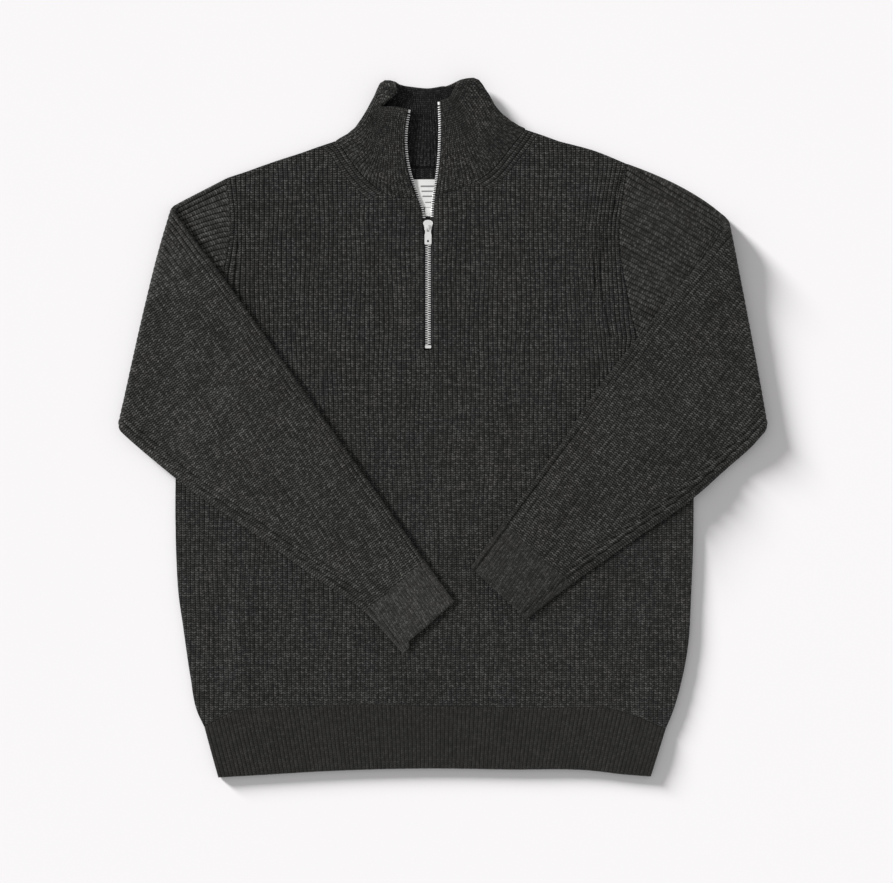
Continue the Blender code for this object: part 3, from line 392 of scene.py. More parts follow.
knitFinish = {
    "roughness": 0.88, "sheenRoughness": 0.5, "specular": 0.2,
    "streaks": (0.40, 0.58),  # the range of the streak noise from dark to light
    "warmth": (0.35, 0.65),  # the range of the hue noise from the yarn's colour to its warm one
}


def knitMaterial(name, look):
    material, shader, n = plainMaterial(name, knitFinish["roughness"])
    stitches = n.new("ShaderNodeGroup", node_tree=stitchGroup)
    coords = n.new("ShaderNodeUVMap", uv_map="knit").outputs[0]
    n.wire(coords, stitches.inputs["Coords"])
    stitches.inputs["Slant"].default_value = look["slant"]
    stitches.inputs["Uneven"].default_value = look["uneven"]
    mottle = n.new("ShaderNodeGroup", node_tree=mottleGroup)
    mottle.inputs["Scale"].default_value = look["mottleScale"]
    mottle.inputs["Amount"].default_value = look["mottle"]
    split = n.new("ShaderNodeSeparateXYZ")
    n.wire(coords, split.inputs[0])
    fromCourse, toCourse, firstRibs, lastRibs, firstCourses, lastCourses, firstTone = look["change"]
    tone = n.ramp(split.outputs[1], fromCourse, toCourse, firstTone, 1.0, False)
    ribs = n.ramp(split.outputs[1], fromCourse, toCourse, (1 - look["valley"]) * firstRibs,
                  (1 - look["valley"]) * lastRibs, False)
    courses = n.ramp(split.outputs[1], fromCourse, toCourse, (1 - look["between"]) * firstCourses,
                     (1 - look["between"]) * lastCourses, False)
    # Painted shade: the colour is darkened in the gaps between stitches and in the rib valleys
    gap = n.math("SUBTRACT", 1.0, stitches.outputs["Stitch"])
    shade = n.math("MULTIPLY", n.math("SUBTRACT", 1.0, n.math("MULTIPLY", gap, courses)),
                   n.math("SUBTRACT", 1.0, n.math("MULTIPLY", stitches.outputs["Valley"], ribs)))
    fleck = n.ramp(stitches.outputs["Fleck"], 0.0, 1.0, look["darkest"], look["lightest"], False)
    darker, lighter = 1 - look["streak"], 1 + look["streak"]
    streak = n.ramp(stitches.outputs["Streak"], *knitFinish["streaks"], darker, lighter, False)
    broad = n.math("MULTIPLY", streak, mottle.outputs["Tone"])
    shade = n.math("MULTIPLY", n.math("MULTIPLY", shade, fleck), broad)
    shade = n.math("MULTIPLY", shade, tone)
    yarn = n.mix(n.ramp(mottle.outputs["Hue"], *knitFinish["warmth"]), look["yarn"], look["warmYarn"])
    grey = n.new("ShaderNodeCombineColor")
    for socket in grey.inputs[:3]:
        n.wire(shade, socket)
    n.wire(n.mix(1.0, yarn, grey.outputs[0], "MULTIPLY"), shader.inputs["Base Color"])
    bump = n.new("ShaderNodeBump")
    bump.inputs["Strength"].default_value = look["relief"]
    bump.inputs["Distance"].default_value = look["reliefHeight"]
    n.wire(stitches.outputs["Height"], bump.inputs["Height"])
    n.wire(bump.outputs[0], shader.inputs["Normal"])
    shader.inputs["Sheen Weight"].default_value = look["sheen"]
    shader.inputs["Sheen Roughness"].default_value = knitFinish["sheenRoughness"]
    shader.inputs["Specular IOR Level"].default_value = knitFinish["specular"]
    return material


# "change" runs along a piece from one course to another: both courses, how much of the painted shade in the
# rib valleys and then in the gaps between courses shows at each, and the tone at the first. "valley" and
# "between" are what that painted shade leaves of the colour there
chunkyLook = {
    "yarn": (0.0690, 0.0690, 0.0672, 1.0), "warmYarn": (0.0710, 0.0692, 0.0650, 1.0),
    "darkest": 0.60, "lightest": 1.70, "streak": 0.26, "valley": 0.36, "between": 0.0,
    "slant": 0.40, "uneven": 0.5, "mottleScale": 9.0, "mottle": 0.22,
    "relief": 1.0, "reliefHeight": 0.0009, "sheen": 0.05,
    "change": (-10.0, 40.0, 0.55, 1.0, 0.90, 1.0, 0.90),
}
# The sleeves' yarn is lighter than the body's: painted light on the right sleeve
sleeveLook = dict(chunkyLook, yarn=(0.0770, 0.0775, 0.0725, 1.0), warmYarn=(0.0780, 0.0760, 0.0715, 1.0),
                  change=(45.0, 60.0, 1.0, 0.40, 0.55, 1.0, 0.97))
fineLook = dict(chunkyLook, valley=0.85, between=0.50, streak=0.12, slant=0.6, reliefHeight=0.0004,
                darkest=0.62, lightest=1.60, yarn=(0.0655, 0.0660, 0.0620, 1.0),
                change=(0.0, 1.0, 1.0, 1.0, 1.0, 1.0, 1.0))
shadedLook = dict(fineLook, yarn=(0.0480, 0.0485, 0.0452, 1.0), warmYarn=(0.0495, 0.0480, 0.0445, 1.0))
hemLook = dict(fineLook, yarn=(0.0350, 0.0340, 0.0316, 1.0), warmYarn=(0.0350, 0.0336, 0.0304, 1.0),
               darkest=0.78, lightest=1.40, streak=0.08, valley=0.80)
collarLook = dict(fineLook, valley=0.42, between=0.05, darkest=0.40, lightest=2.0,
                  yarn=(0.0540, 0.0540, 0.0510, 1.0))
# Painted shade: the first tone is a darker copy of the collar knit for the collar's inside face and the
# back panel's upper face
paintedShadeInnerTone, paintedSeamShadeTone = (0.0335, 0.0335, 0.0333, 1.0), (0.008, 0.008, 0.008, 1.0)
paintedShadeInnerLook = dict(collarLook, valley=0.15, yarn=paintedShadeInnerTone, warmYarn=paintedShadeInnerTone)
# Painted shade: a near black copy for the crease along the collar's seam
paintedSeamShadeLook = dict(paintedShadeInnerLook, yarn=paintedSeamShadeTone, warmYarn=paintedSeamShadeTone)
sleeveKnit = {
    "right": knitMaterial("sleeveRibPaintedLight", sleeveLook),
    # The left sleeve gets a darker copy of the same yarn: painted shade
    "left": knitMaterial("sleeveRibPaintedShade", dict(sleeveLook, yarn=(0.0650, 0.0655, 0.0615, 1.0),
                                                 warmYarn=(0.0660, 0.0643, 0.0602, 1.0))),
}
chunkyKnit = knitMaterial("charcoalMarlRib", chunkyLook)
# The left cuff gets a darker copy of the cuff knit: painted shade
cuffKnit = {
    "right": knitMaterial("charcoalMarlCuffRib", fineLook),
    "left": knitMaterial("cuffRibPaintedShade", shadedLook),
}
hemKnit = knitMaterial("charcoalMarlHemRib", hemLook)
collarKnit = knitMaterial("charcoalMarlCollarRib", collarLook)
paintedShadeInnerKnit = knitMaterial("paintedShadeInnerRib", paintedShadeInnerLook)
paintedSeamShadeKnit = knitMaterial("paintedSeamShade", paintedSeamShadeLook)
print("knit materials ready")


# The body's sizes and outlines, as in the part
body = {
    "width": 0.5698,
    "side": -0.2943,
    "ribPitch": 0.00505,
    "ribDepth": 0.0017,
    "bandDepth": 0.0021,
    "hemPitch": 0.0043,
    "cuffPitch": 0.0036,
    "fineDepth": 0.0008,
    "cuffDepth": 0.0005,
    "levelStep": 0.010,
    "zipX": -0.0170,
    "zipTop": 0.3000,
    "slotEnd": 0.0858,
    "turnTrim": 0.0003,  # between the neckline's seams and the collar's turns
    "sway": 0.0007,  # how far the ribs wander sideways
    "waves": [(1.0, 38, 31, 0.0), (0.8, 93, -57, 1.3)],
}
body["ribs"] = round(body["width"] / body["ribPitch"])
body["pitch"] = body["width"] / body["ribs"]
body["firstValley"] = body["side"] + body["pitch"] / 4

armholeRight = [
    (-0.2393, 0.2750), (-0.2338, 0.2288), (-0.2362, 0.2013), (-0.2426, 0.1683),
    (-0.2470, 0.1408), (-0.2624, 0.0913), (-0.2898, 0.0275),
]
sideRight = [
    (-0.2943, 0.0190), (-0.2943, -0.1408), (-0.2921, -0.1804), (-0.2866, -0.2200),
    (-0.2789, -0.2728), (-0.2712, -0.3124), (-0.2635, -0.3289),
]
hemSeam = [
    (-0.2635, -0.3289), (-0.2338, -0.3135), (-0.1666, -0.3069), (-0.0930, -0.3042),
    (-0.0170, -0.3058), (0.1062, -0.3080), (0.1953, -0.3113), (0.2448, -0.3311),
]
hemFoot = [
    (-0.2481, -0.3850), (-0.2019, -0.3823), (-0.1359, -0.3784), (-0.0809, -0.3762),
    (-0.0170, -0.3751), (0.0732, -0.3762), (0.1612, -0.3773), (0.1996, -0.3817), (0.2283, -0.3839),
]
sideLeft = [
    (0.2448, -0.3311), (0.2525, -0.3124), (0.2635, -0.2728), (0.2701, -0.2332),
    (0.2722, -0.1936), (0.2745, -0.1408), (0.2755, 0.0110),
]
armholeLeft = [
    (0.2734, 0.0150), (0.2380, 0.0600), (0.2140, 0.1010), (0.2019, 0.1518),
    (0.1953, 0.1903), (0.1935, 0.2156), (0.1965, 0.2450), (0.2030, 0.2904),
]
shoulderLeft = [(0.2030, 0.2904), (0.1656, 0.3055), (0.1282, 0.3155)]
shoulderRight = [(-0.1579, 0.3025), (-0.2041, 0.2871), (-0.2393, 0.2750)]

puff = [
    ("hem seam", -0.330, 0.0010), ("blouson", -0.265, 0.0045), ("waist", -0.120, 0.0030),
    ("chest", 0.100, 0.0020), ("shoulder", 0.300, 0.0005),
]
bodyFolds = [
    ("right hem trough", -0.2500, -0.300, -0.2420, -0.190, 0.016, -0.0030),
    ("right hem ridge", -0.2240, -0.300, -0.2180, -0.170, 0.020, 0.0018),
    ("left hem ridge", 0.1500, -0.300, 0.1650, -0.200, 0.030, 0.0020),
    ("left hem trough", 0.2050, -0.290, 0.2120, -0.200, 0.018, -0.0022),
    ("middle ridge", -0.0300, -0.280, -0.0100, -0.120, 0.045, 0.0012),
]
# Down the zip: Y, then X of the cloth's right edge, of both rows of teeth, and of the cloth's left edge
zipCourse = [
    ("neckline", 0.2541, -0.0299, -0.0280, -0.0107, -0.0088),
    ("vee", 0.2420, -0.0254, -0.0236, -0.0119, -0.0101),
    ("slider mouth", 0.2295, -0.0236, -0.0212, -0.0128, -0.0104),
    ("slider throat", 0.2250, -0.0235, -0.0197, -0.0143, -0.0105),
    ("slider foot", 0.2190, -0.0232, -0.01865, -0.01535, -0.0108),
    ("chain", 0.2090, -0.0219, -0.01865, -0.01535, -0.0121),
    ("chain end", 0.0914, -0.0219, -0.01865, -0.01535, -0.0121),
]

# The collar's stations from the right zip edge round the neck. Each has points from the neckline seam
# to the rim: three where its width lies in a plain curve, and six where the rim curls in.
collarShares = (0.0, 0.30, 0.55, 0.75, 0.88, 1.0)
collarStations = [
    ("right zip edge", [(-0.0299, 0.2541, 0.0079), (-0.0426, 0.3025, 0.0125), (-0.0389, 0.3498, 0.0150)]),
    ("right front", [(-0.0535, 0.2535, 0.0079), (-0.0585, 0.3030, 0.0132), (-0.0535, 0.3525, 0.0162)]),
    ("right side", [(-0.0845, 0.2735, 0.0079), (-0.0808, 0.2944, 0.0110), (-0.0769, 0.3151, 0.0125),
                    (-0.0730, 0.3337, 0.0135), (-0.0702, 0.3450, 0.0148), (-0.0669, 0.3535, 0.0165)]),
    ("right ridge", [(-0.1035, 0.2965, 0.0079), (-0.0925, 0.3130, 0.0110), (-0.0820, 0.3318, 0.0120),
                     (-0.0752, 0.3500, 0.0128), (-0.0708, 0.3615, 0.0145), (-0.0575, 0.3611, 0.0175)]),
    ("right curl", [(-0.1124, 0.3092, 0.0069), (-0.0958, 0.3250, 0.0093), (-0.0838, 0.3430, 0.0106),
                    (-0.0742, 0.3622, 0.0120), (-0.0662, 0.3768, 0.0130), (-0.0504, 0.3689, 0.0165)]),
    ("right turn", [(-0.1186, 0.3146, 0.0047), (-0.0972, 0.3294, 0.0055), (-0.0848, 0.3474, 0.0062),
                    (-0.0752, 0.3646, 0.0068), (-0.0662, 0.3808, 0.0080), (-0.0524, 0.3765, 0.0110)]),
    ("right back", [(-0.0987, 0.3033, 0.0015), (-0.0888, 0.3209, 0.0015), (-0.0778, 0.3397, 0.0015),
                    (-0.0656, 0.3606, 0.0018), (-0.0573, 0.3721, 0.0025), (-0.0468, 0.3775, 0.0040)]),
    ("back right", [(-0.0588, 0.2904, 0.0015), (-0.0470, 0.3310, 0.0015), (-0.0350, 0.3762, 0.0025)]),
    ("back middle", [(-0.0182, 0.2860, 0.0015), (-0.0182, 0.3300, 0.0015), (-0.0182, 0.3746, 0.0020)]),
    ("back left", [(0.0292, 0.2937, 0.0015), (0.0170, 0.3345, 0.0015), (-0.0020, 0.3768, 0.0025)]),
    ("left back", [(0.0711, 0.3154, 0.0015), (0.0595, 0.3320, 0.0015), (0.0458, 0.3513, 0.0015),
                   (0.0314, 0.3656, 0.0018), (0.0193, 0.3737, 0.0025), (0.0066, 0.3775, 0.0040)]),
    ("left turn", [(0.0898, 0.3282, 0.0047), (0.0716, 0.3388, 0.0055), (0.0569, 0.3528, 0.0062),
                   (0.0463, 0.3703, 0.0070), (0.0352, 0.3835, 0.0082), (0.0165, 0.3798, 0.0110)]),
    ("left curl", [(0.0803, 0.3164, 0.0069), (0.0671, 0.3309, 0.0093), (0.0544, 0.3488, 0.0110),
                   (0.0428, 0.3684, 0.0123), (0.0307, 0.3809, 0.0133), (0.0137, 0.3758, 0.0160)]),
    ("left dome", [(0.0699, 0.3031, 0.0079), (0.0588, 0.3219, 0.0110), (0.0483, 0.3426, 0.0123),
                   (0.0373, 0.3617, 0.0132), (0.0258, 0.3724, 0.0147), (0.0110, 0.3710, 0.0172)]),
    ("left shoulder", [(0.0510, 0.2816, 0.0079), (0.0434, 0.3043, 0.0115), (0.0340, 0.3271, 0.0130),
                       (0.0242, 0.3457, 0.0140), (0.0165, 0.3570, 0.0152), (0.0077, 0.3644, 0.0173)]),
    ("left front", [(0.0203, 0.2640, 0.0079), (0.0150, 0.3120, 0.0135), (0.0060, 0.3625, 0.0165)]),
    ("left zip edge", [(-0.0088, 0.2552, 0.0079), (-0.0026, 0.3080, 0.0125), (-0.0035, 0.3590, 0.0150)]),
]


collarSteps = {"along": 0.0005, "share": 0.01, "seam": 0.003, "neckLine": 0.02}


class CollarSurface:  # the middle of the collar's cloth, by place along the strip and share of its width
    def __init__(self):
        sections = []
        for _, points in collarStations:
            points = np.array(points, float)
            if len(points) == 3:
                s = np.array(collarShares)[:, None]
                points = ((1 - s) * (1 - 2 * s) * points[0] + 4 * s * (1 - s) * points[1]
                          + s * (2 * s - 1) * points[2])
            sections.append(points)
        self.sections = np.array(sections)
        steps = np.linalg.norm(np.diff(self.sections[:, ::2], axis=0), axis=2)[:, :2].mean(axis=1)
        self.knots = np.concatenate([[0], np.cumsum(steps)])
        self.length = self.knots[-1]
        self.turns = [self.knots[k] for k, (name, _) in enumerate(collarStations) if name.endswith("turn")]

    def at(self, along, share):
        return smooth(collarShares, smooth(self.knots, self.sections, along).swapaxes(0, 1), [share])[0]

    def frame(self, along, share):
        ahead = self.at(np.minimum(along + collarSteps["along"], self.length), share)
        behind = self.at(np.maximum(along - collarSteps["along"], 0), share)
        step = collarSteps["share"]
        up = self.at(along, min(share + step, 1)) - self.at(along, max(share - step, 0))
        run = (ahead - behind) / np.linalg.norm(ahead - behind, axis=1)[:, None]
        normal = np.cross(up, run)
        normal /= np.linalg.norm(normal, axis=1)[:, None]
        return run, up / np.linalg.norm(up, axis=1)[:, None], normal

    def seam(self, start, end, spacing=collarSteps["seam"]):
        places = np.linspace(start, end, int(math.ceil(abs(end - start) / spacing)) + 1)
        return self.at(places, 0.0)[:, :2]


collarSurface = CollarSurface()
rightTurn, leftTurn = collarSurface.turns
seamRight = collarSurface.seam(0.0, rightTurn - body["turnTrim"])
seamLeft = collarSurface.seam(collarSurface.length, leftTurn + body["turnTrim"])
slotRight = np.array([(row[2], row[1]) for row in zipCourse[1:]] + [(zipCourse[-1][2], body["slotEnd"])])
slotLeft = np.array([(row[5], row[1]) for row in zipCourse[1:]] + [(zipCourse[-1][5], body["slotEnd"])])
bodyOutline = np.concatenate(
    [runThrough(run, 0.012)[::-1] for run in
     (shoulderLeft, armholeLeft, sideLeft, hemSeam, sideRight, armholeRight, shoulderRight)]
    + [seamRight[::-1], slotRight, slotLeft[::-1], seamLeft])
neckCorners = [collarSurface.at(np.array([turn]), 0.0)[0][:2] for turn in (rightTurn, leftTurn)]
neckLines = [collarSurface.seam(start, end, collarSteps["neckLine"])
             for start, end in ((0.0, rightTurn), (leftTurn, collarSurface.length))]
zipLine = [(body["zipX"], body["slotEnd"]), (body["zipX"], body["zipTop"])]


crownForm = {
    "puffReach": 0.060,  # how far in from the outline the front has its full height
    "foldReach": 0.030,
    "zipFlat": 0.020,  # the front stays raised this far from the zip, and sinks over the next stretch
    "zipFall": 0.035,
    "neckFlat": 0.008,
    "neckFall": 0.030,
    "cornerReach": 0.030,
}


def crownHeight(x, y):  # of the front's ribs above the floor
    x, y = np.asarray(x, float), np.asarray(y, float)
    inFromEdge = np.where(isInside(bodyOutline, x, y), distanceFrom(bodyOutline, x, y), 0)
    swell = smooth([row[1] for row in puff], [row[2] for row in puff], y)
    height = cloth["stack"] + ease(inFromEdge / crownForm["puffReach"]) * swell
    folds = ease(inFromEdge / crownForm["foldReach"]) * relief(bodyFolds, x, y)
    height = np.maximum(height + folds, cloth["stack"])
    nearZip = 1 - ease((distanceFrom(zipLine, x, y) - crownForm["zipFlat"]) / crownForm["zipFall"])
    fromNeck = np.minimum(*(distanceFrom(line, x, y) for line in neckLines))
    fromCorner = np.minimum(*(np.hypot(x - corner[0], y - corner[1]) for corner in neckCorners))
    nearNeck = 1 - ease((fromNeck - crownForm["neckFlat"]) / crownForm["neckFall"])
    raised = np.maximum(nearZip, nearNeck * ease(fromCorner / crownForm["cornerReach"]))
    return height + raised * (cloth["raised"] - height)


# Near an armhole the ribs follow it: each side's straightened armhole, and how far in they still do
armholes = {
    "right": {
        "real": armholeRight[::-1], "reach": 0.022, "inward": 1.0,
        "straight": [(-0.2898, 0.0275), (-0.2624, 0.0913), (-0.2400, 0.1350), (-0.2371, 0.1500),
                     (-0.2371, 0.2013), (-0.2370, 0.2750)],
    },
    "left": {
        "real": armholeLeft, "reach": 0.075, "inward": -1.0,
        "straight": [(0.2734, 0.0150), (0.2450, 0.0600), (0.2180, 0.1010), (0.2120, 0.1400),
                     (0.2080, 0.1800), (0.2062, 0.2100), (0.2050, 0.2500), (0.2030, 0.2904)],
    },
}
# Where the inner ribs end at the shaped edge beside a sleeve
shapingLines = [
    [(-0.2345, 0.2125), (-0.2272, 0.2035), (-0.2250, 0.1958), (-0.2261, 0.1870), (-0.2283, 0.1716),
     (-0.2305, 0.1562), (-0.2310, 0.1430)],
    [(0.1925, 0.2376), (0.1854, 0.2200), (0.1788, 0.2068), (0.1744, 0.1958), (0.1727, 0.1826),
     (0.1727, 0.1683), (0.1744, 0.1518), (0.1788, 0.1276), (0.1854, 0.1001)],
    [(0.1985, 0.2860), (0.1935, 0.2618), (0.1865, 0.2376), (0.1793, 0.2200), (0.1727, 0.2068),
     (0.1683, 0.1958), (0.1667, 0.1826), (0.1667, 0.1683), (0.1683, 0.1518)],
]
shapingGroove = {"halfWidth": 0.0023, "depth": 0.0027}
shapingKnots = [("end of the narrowing", -0.2264, 0.2040, -0.2246, 0.2100, 0.0045, 0.0014)]
nearHoles = {"reach": 0.035, "deeper": 0.5, "edge": (0.0026, 0.0018)}  # ribs get deeper near an armhole
armholeFade = {"upFrom": 0.020, "outside": -0.010}  # from its lower end, and out from its straight edge


def followArmholes(x, y):
    moved = np.array(x, float)
    for hole in armholes.values():
        real, straight = np.array(hole["real"]), np.array(hole["straight"])
        edge = np.interp(y, straight[:, 1], straight[:, 0])
        gap = smooth(real[:, 1], real[:, 0], y) - edge
        inside = (np.asarray(x) - edge) * hole["inward"]
        share = (1 - ease(inside / hole["reach"])) * ease((y - real[0, 1]) / armholeFade["upFrom"])
        moved = moved + gap * share * (inside > armholeFade["outside"])
    return moved


def straightSides():  # the shared outline, with its armholes straightened
    parts = [runThrough(shoulderLeft)[::-1]]
    parts.append(np.array(armholes["left"]["straight"])[::-1])
    parts += [runThrough(run)[::-1] for run in (sideLeft, hemSeam, sideRight)]
    parts.append(np.array(armholes["right"]["straight"]))
    parts.append(np.array([(-0.2041, 0.2871), (-0.1800, 0.2955), shoulderRight[0]]))
    return parts


def spanAt(polygon, x):  # the longest stretch of the line at x that is inside
    x0, y0 = polygon.T
    x1, y1 = np.roll(polygon, -1, axis=0).T
    hit = (x0 > x) != (x1 > x)
    ys = np.sort(y0[hit] + (x - x0[hit]) * (y1[hit] - y0[hit]) / (x1[hit] - x0[hit]))
    spans = [(ys[k], ys[k + 1]) for k in range(0, len(ys) - 1, 2)]
    return max(spans, key=lambda s: s[1] - s[0]) if spans else None


panelForm = {
    "ends": np.array([0.0, 0.0004, 0.0011, 0.0022, 0.0040]),  # points close to the ends of a column
    "innerEnds": np.array([0.0, 0.0009, 0.0020, 0.0045]),
    "endGap": 0.007,  # from a column's end to the nearest even level
    "innerGap": 0.010,
    "innerEvery": 5,  # the inside has every fifth level
    "levels": np.arange(-0.36, 0.36, body["levelStep"]),
    "sideGap": 0.00002,  # from the panel's side to its first column
    "shortest": 0.0004,
    "edge": (0.0026, 0.0010),  # how edges round off: radius and depth
    "bandSide": (0.0026, 0.0012),
    "backEdge": (0.0028, 0.0014),
    "backNeck": (0.0045, 0.0029),
    "backRibs": 0.0006,
    "bandGap": 0.0005,  # between the plain part of the neckline and a band
    "slotColumns": 0.00003,  # on both sides of the slot's edges
    "hemRibs": 0.55,  # share of the ribs' depth at the hem, and where they get deeper above it
    "hemRibsTo": -0.08,
    "hemRibsOver": 0.20,
    "edgeRibs": 0.35,  # the same at the panel's edges
    "edgeRibsOver": 0.006,
    "swayFrom": 0.020,
}


def columnPanel(mesh, polygon, extraColumns, outside, inside, course):
    first, last = polygon[:, 0].min() + panelForm["sideGap"], polygon[:, 0].max() - panelForm["sideGap"]
    places, ribs = ribColumns(first, last, body["pitch"], body["firstValley"])
    for x in extraColumns:
        places = np.append(places, x)
        ribs = np.append(ribs, (x - body["firstValley"]) / body["pitch"])
    order = np.argsort(places)
    kept = []
    for x, rib in zip(places[order], ribs[order]):
        span = spanAt(polygon, x)
        if span and span[1] - span[0] > panelForm["shortest"]:
            kept.append((x, rib, *span))
    even = panelForm["levels"]
    sides = []
    for surface, levels, ends, gap in (
            (outside, even, panelForm["ends"], panelForm["endGap"]),
            (inside, even[::panelForm["innerEvery"]], panelForm["innerEnds"], panelForm["innerGap"])):
        columns = []
        for _, _, low, high in kept:
            near = ends[ends < (high - low) / 2]
            middle = levels[(levels > low + gap) & (levels < high - gap)]
            columns.append(np.concatenate([low + near, middle, (high - near)[::-1]]))
        xs = np.concatenate([np.full(len(column), x) for (x, *_), column in zip(kept, columns)])
        points = surface(xs, np.concatenate(columns))
        rows, start = [], 0
        for (_, rib, *_), column in zip(kept, columns):
            uv = np.column_stack([np.full(len(column), rib), column / course])
            rows.append(mesh.row(column, points[start:start + len(column)], uv))
            start += len(column)
        sides.append(rows)
    closeWall(mesh, *sides)


# Three ribs run along each side of the neckline, and bend into the upright ones at a mitre
neckBands = {
    "right": {"mitre": -0.0660, "towards": -1.0, "shoulder": shoulderRight[0], "lift": 0.0016},
    "left": {"mitre": 0.0335, "towards": 1.0, "shoulder": shoulderLeft[-1], "lift": 0.0008},
}
bandForm = {
    "ribs": 3,
    "tuck": 0.0010,  # how far its shoulder end goes into the collar, over a reach
    "tuckReach": 0.012,
    "longer": 0.004 * np.arange(1, 9),  # steps that carry the neckline on past the shoulder
    "spacing": 0.001,
    "ends": np.array([0.0, 0.004, 0.012, 0.030]),  # shares of a band's length close to its ends
    "middle": np.linspace(0.06, 0.94, 32),
}


def bandColumns(side):  # for each column across the band, its line from the mitre to the shoulder
    band = neckBands[side]
    seam = seamRight if side == "right" else seamLeft
    towards = band["towards"]
    ribsAway = round((band["mitre"] - body["firstValley"]) / body["pitch"])
    valley = body["firstValley"] + body["pitch"] * ribsAway
    shares, ribs = ribColumns(0.0, bandForm["ribs"] * body["pitch"], body["pitch"])
    ahead = (seam[-1] - seam[-3]) / np.linalg.norm(seam[-1] - seam[-3])
    longer = np.concatenate([seam, seam[-1] + np.outer(bandForm["longer"], ahead)])
    tangent = np.gradient(longer, axis=0)
    tangent /= np.linalg.norm(tangent, axis=1)[:, None]
    away = np.column_stack([tangent[:, 1], -tangent[:, 0]]) * towards
    tuck = bandForm["tuck"] * ease(1 + (longer[:, 1] - seam[-1][1]) / bandForm["tuckReach"])
    longer = longer - away * tuck[:, None]
    outer, corner = np.array(band["shoulder"]), seam[-1] + np.array([0.0, band["lift"]])
    slope = (outer - corner) / (outer[0] - corner[0])
    fractions = np.concatenate([bandForm["ends"], bandForm["middle"], 1 - bandForm["ends"][::-1]])

    def crossing(line, value, k):  # where a value that grows along the line passes zero, before point k
        return line[k - 1] + (line[k] - line[k - 1]) * value[k - 1] / (value[k - 1] - value[k])

    columns = []
    for share in shares:
        line = runThrough(longer + away * share, bandForm["spacing"])
        past = (line[:, 0] - valley - towards * share) * towards
        above = line[:, 1] - corner[1] - (line[:, 0] - corner[0]) * slope[1]
        first = np.argmax(past >= 0)
        last = first + np.argmax(above[first:] >= 0)
        start, end = crossing(line, past, first), crossing(line, above, last)
        kept = np.concatenate([[start], line[first:last], [end]])
        knots = np.concatenate([[0], np.cumsum(np.linalg.norm(np.diff(kept, axis=0), axis=1))])
        at = fractions * knots[-1]
        columns.append(np.column_stack([np.interp(at, knots, part) for part in kept.T]))
    return np.array(columns), shares, ribs


def makeFront():
    mesh = ClothMesh()
    bands = {side: bandColumns(side) for side in neckBands}
    right, left = bands["right"][0], bands["left"][0]

    def clear(seam, corner):  # the part of the neckline seam between the zip and a band
        reach = abs(corner[0] - body["zipX"]) - panelForm["bandGap"]
        return np.array([p for p in seam if abs(p[0] - body["zipX"]) < reach])

    outer = np.concatenate([left[-1]] + straightSides() + [right[-1][::-1]])
    neck = np.concatenate([right[0][:1], clear(seamRight, right[0][0])[::-1], slotRight, slotLeft[::-1],
                           clear(seamLeft, left[0][0]), left[0][:1]])
    polygon = np.concatenate([outer, right[:, 0][::-1], neck, left[:, 0]])

    def fromEdge(x, y):
        return np.minimum(distanceFrom(outer, x, y), distanceFrom(neck, x, y))

    def outside(x, y):
        distance = fromEdge(x, y)
        rib = (x - body["firstValley"]) / body["pitch"]
        sway = body["sway"] * wander(body["waves"], x, y)
        realX = followArmholes(x, y) + sway * ease(distance / panelForm["swayFrom"])
        fromHole = np.minimum(*(distanceFrom(hole["straight"], x, y) for hole in armholes.values()))
        upFromHem = ease((y - panelForm["hemRibsTo"]) / panelForm["hemRibsOver"])
        depth = body["ribDepth"] * (panelForm["hemRibs"] + (1 - panelForm["hemRibs"]) * upFromHem)
        depth = depth * (1 + nearHoles["deeper"] * (1 - ease(fromHole / nearHoles["reach"])))
        inFromEdge = ease(distance / panelForm["edgeRibsOver"])
        depth = depth * (panelForm["edgeRibs"] + (1 - panelForm["edgeRibs"]) * inFromEdge)
        z = crownHeight(realX, y) - depth * (1 - ribHeight(rib % 1.0))
        z -= edgeDrop(distance, *panelForm["edge"]) + edgeDrop(fromHole, *nearHoles["edge"])
        z += relief(shapingKnots, realX, y)
        for line in shapingLines:
            near = np.minimum(distanceFrom(line, realX, y) / shapingGroove["halfWidth"], 1)
            z -= shapingGroove["depth"] * (1 - near**2) ** 2
        return np.column_stack([realX, y, z])

    def inside(x, y):
        realX = followArmholes(x, y)
        return np.column_stack([realX, y, crownHeight(realX, y) - cloth["wall"]])

    shifts = (-panelForm["slotColumns"], panelForm["slotColumns"])
    slotColumns = [slot[-1][0] + shift for slot in (slotRight, slotLeft) for shift in shifts]
    columnPanel(mesh, polygon, slotColumns, outside, inside, cloth["course"])
    for columns, shares, ribs in bands.values():
        lengths = np.linalg.norm(np.diff(columns[0], axis=0), axis=1)
        distance = np.concatenate([[0], np.cumsum(lengths)])
        rows, plain = [], []
        for k in range(columns.shape[1]):
            plan = columns[:, k]
            top = crownHeight(plan[:, 0], plan[:, 1])
            drop = body["bandDepth"] * (1 - ribHeight(ribs % 1.0))
            drop += edgeDrop(shares, *panelForm["bandSide"])
            drop += edgeDrop(distance[-1] - distance[k], *panelForm["edge"])
            uv = np.column_stack([ribs, np.full(len(ribs), distance[k] / cloth["course"])])
            rows.append(mesh.row(shares, np.column_stack([plan, top - drop]), uv))
            few = [0, len(shares) // 2, -1]
            under = np.column_stack([plan[few], top[few] - cloth["wall"]])
            plain.append(mesh.row(shares[few], under, uv[few]))
        closeWall(mesh, rows, plain)
    return mesh.piece("frontPanel", chunkyKnit)


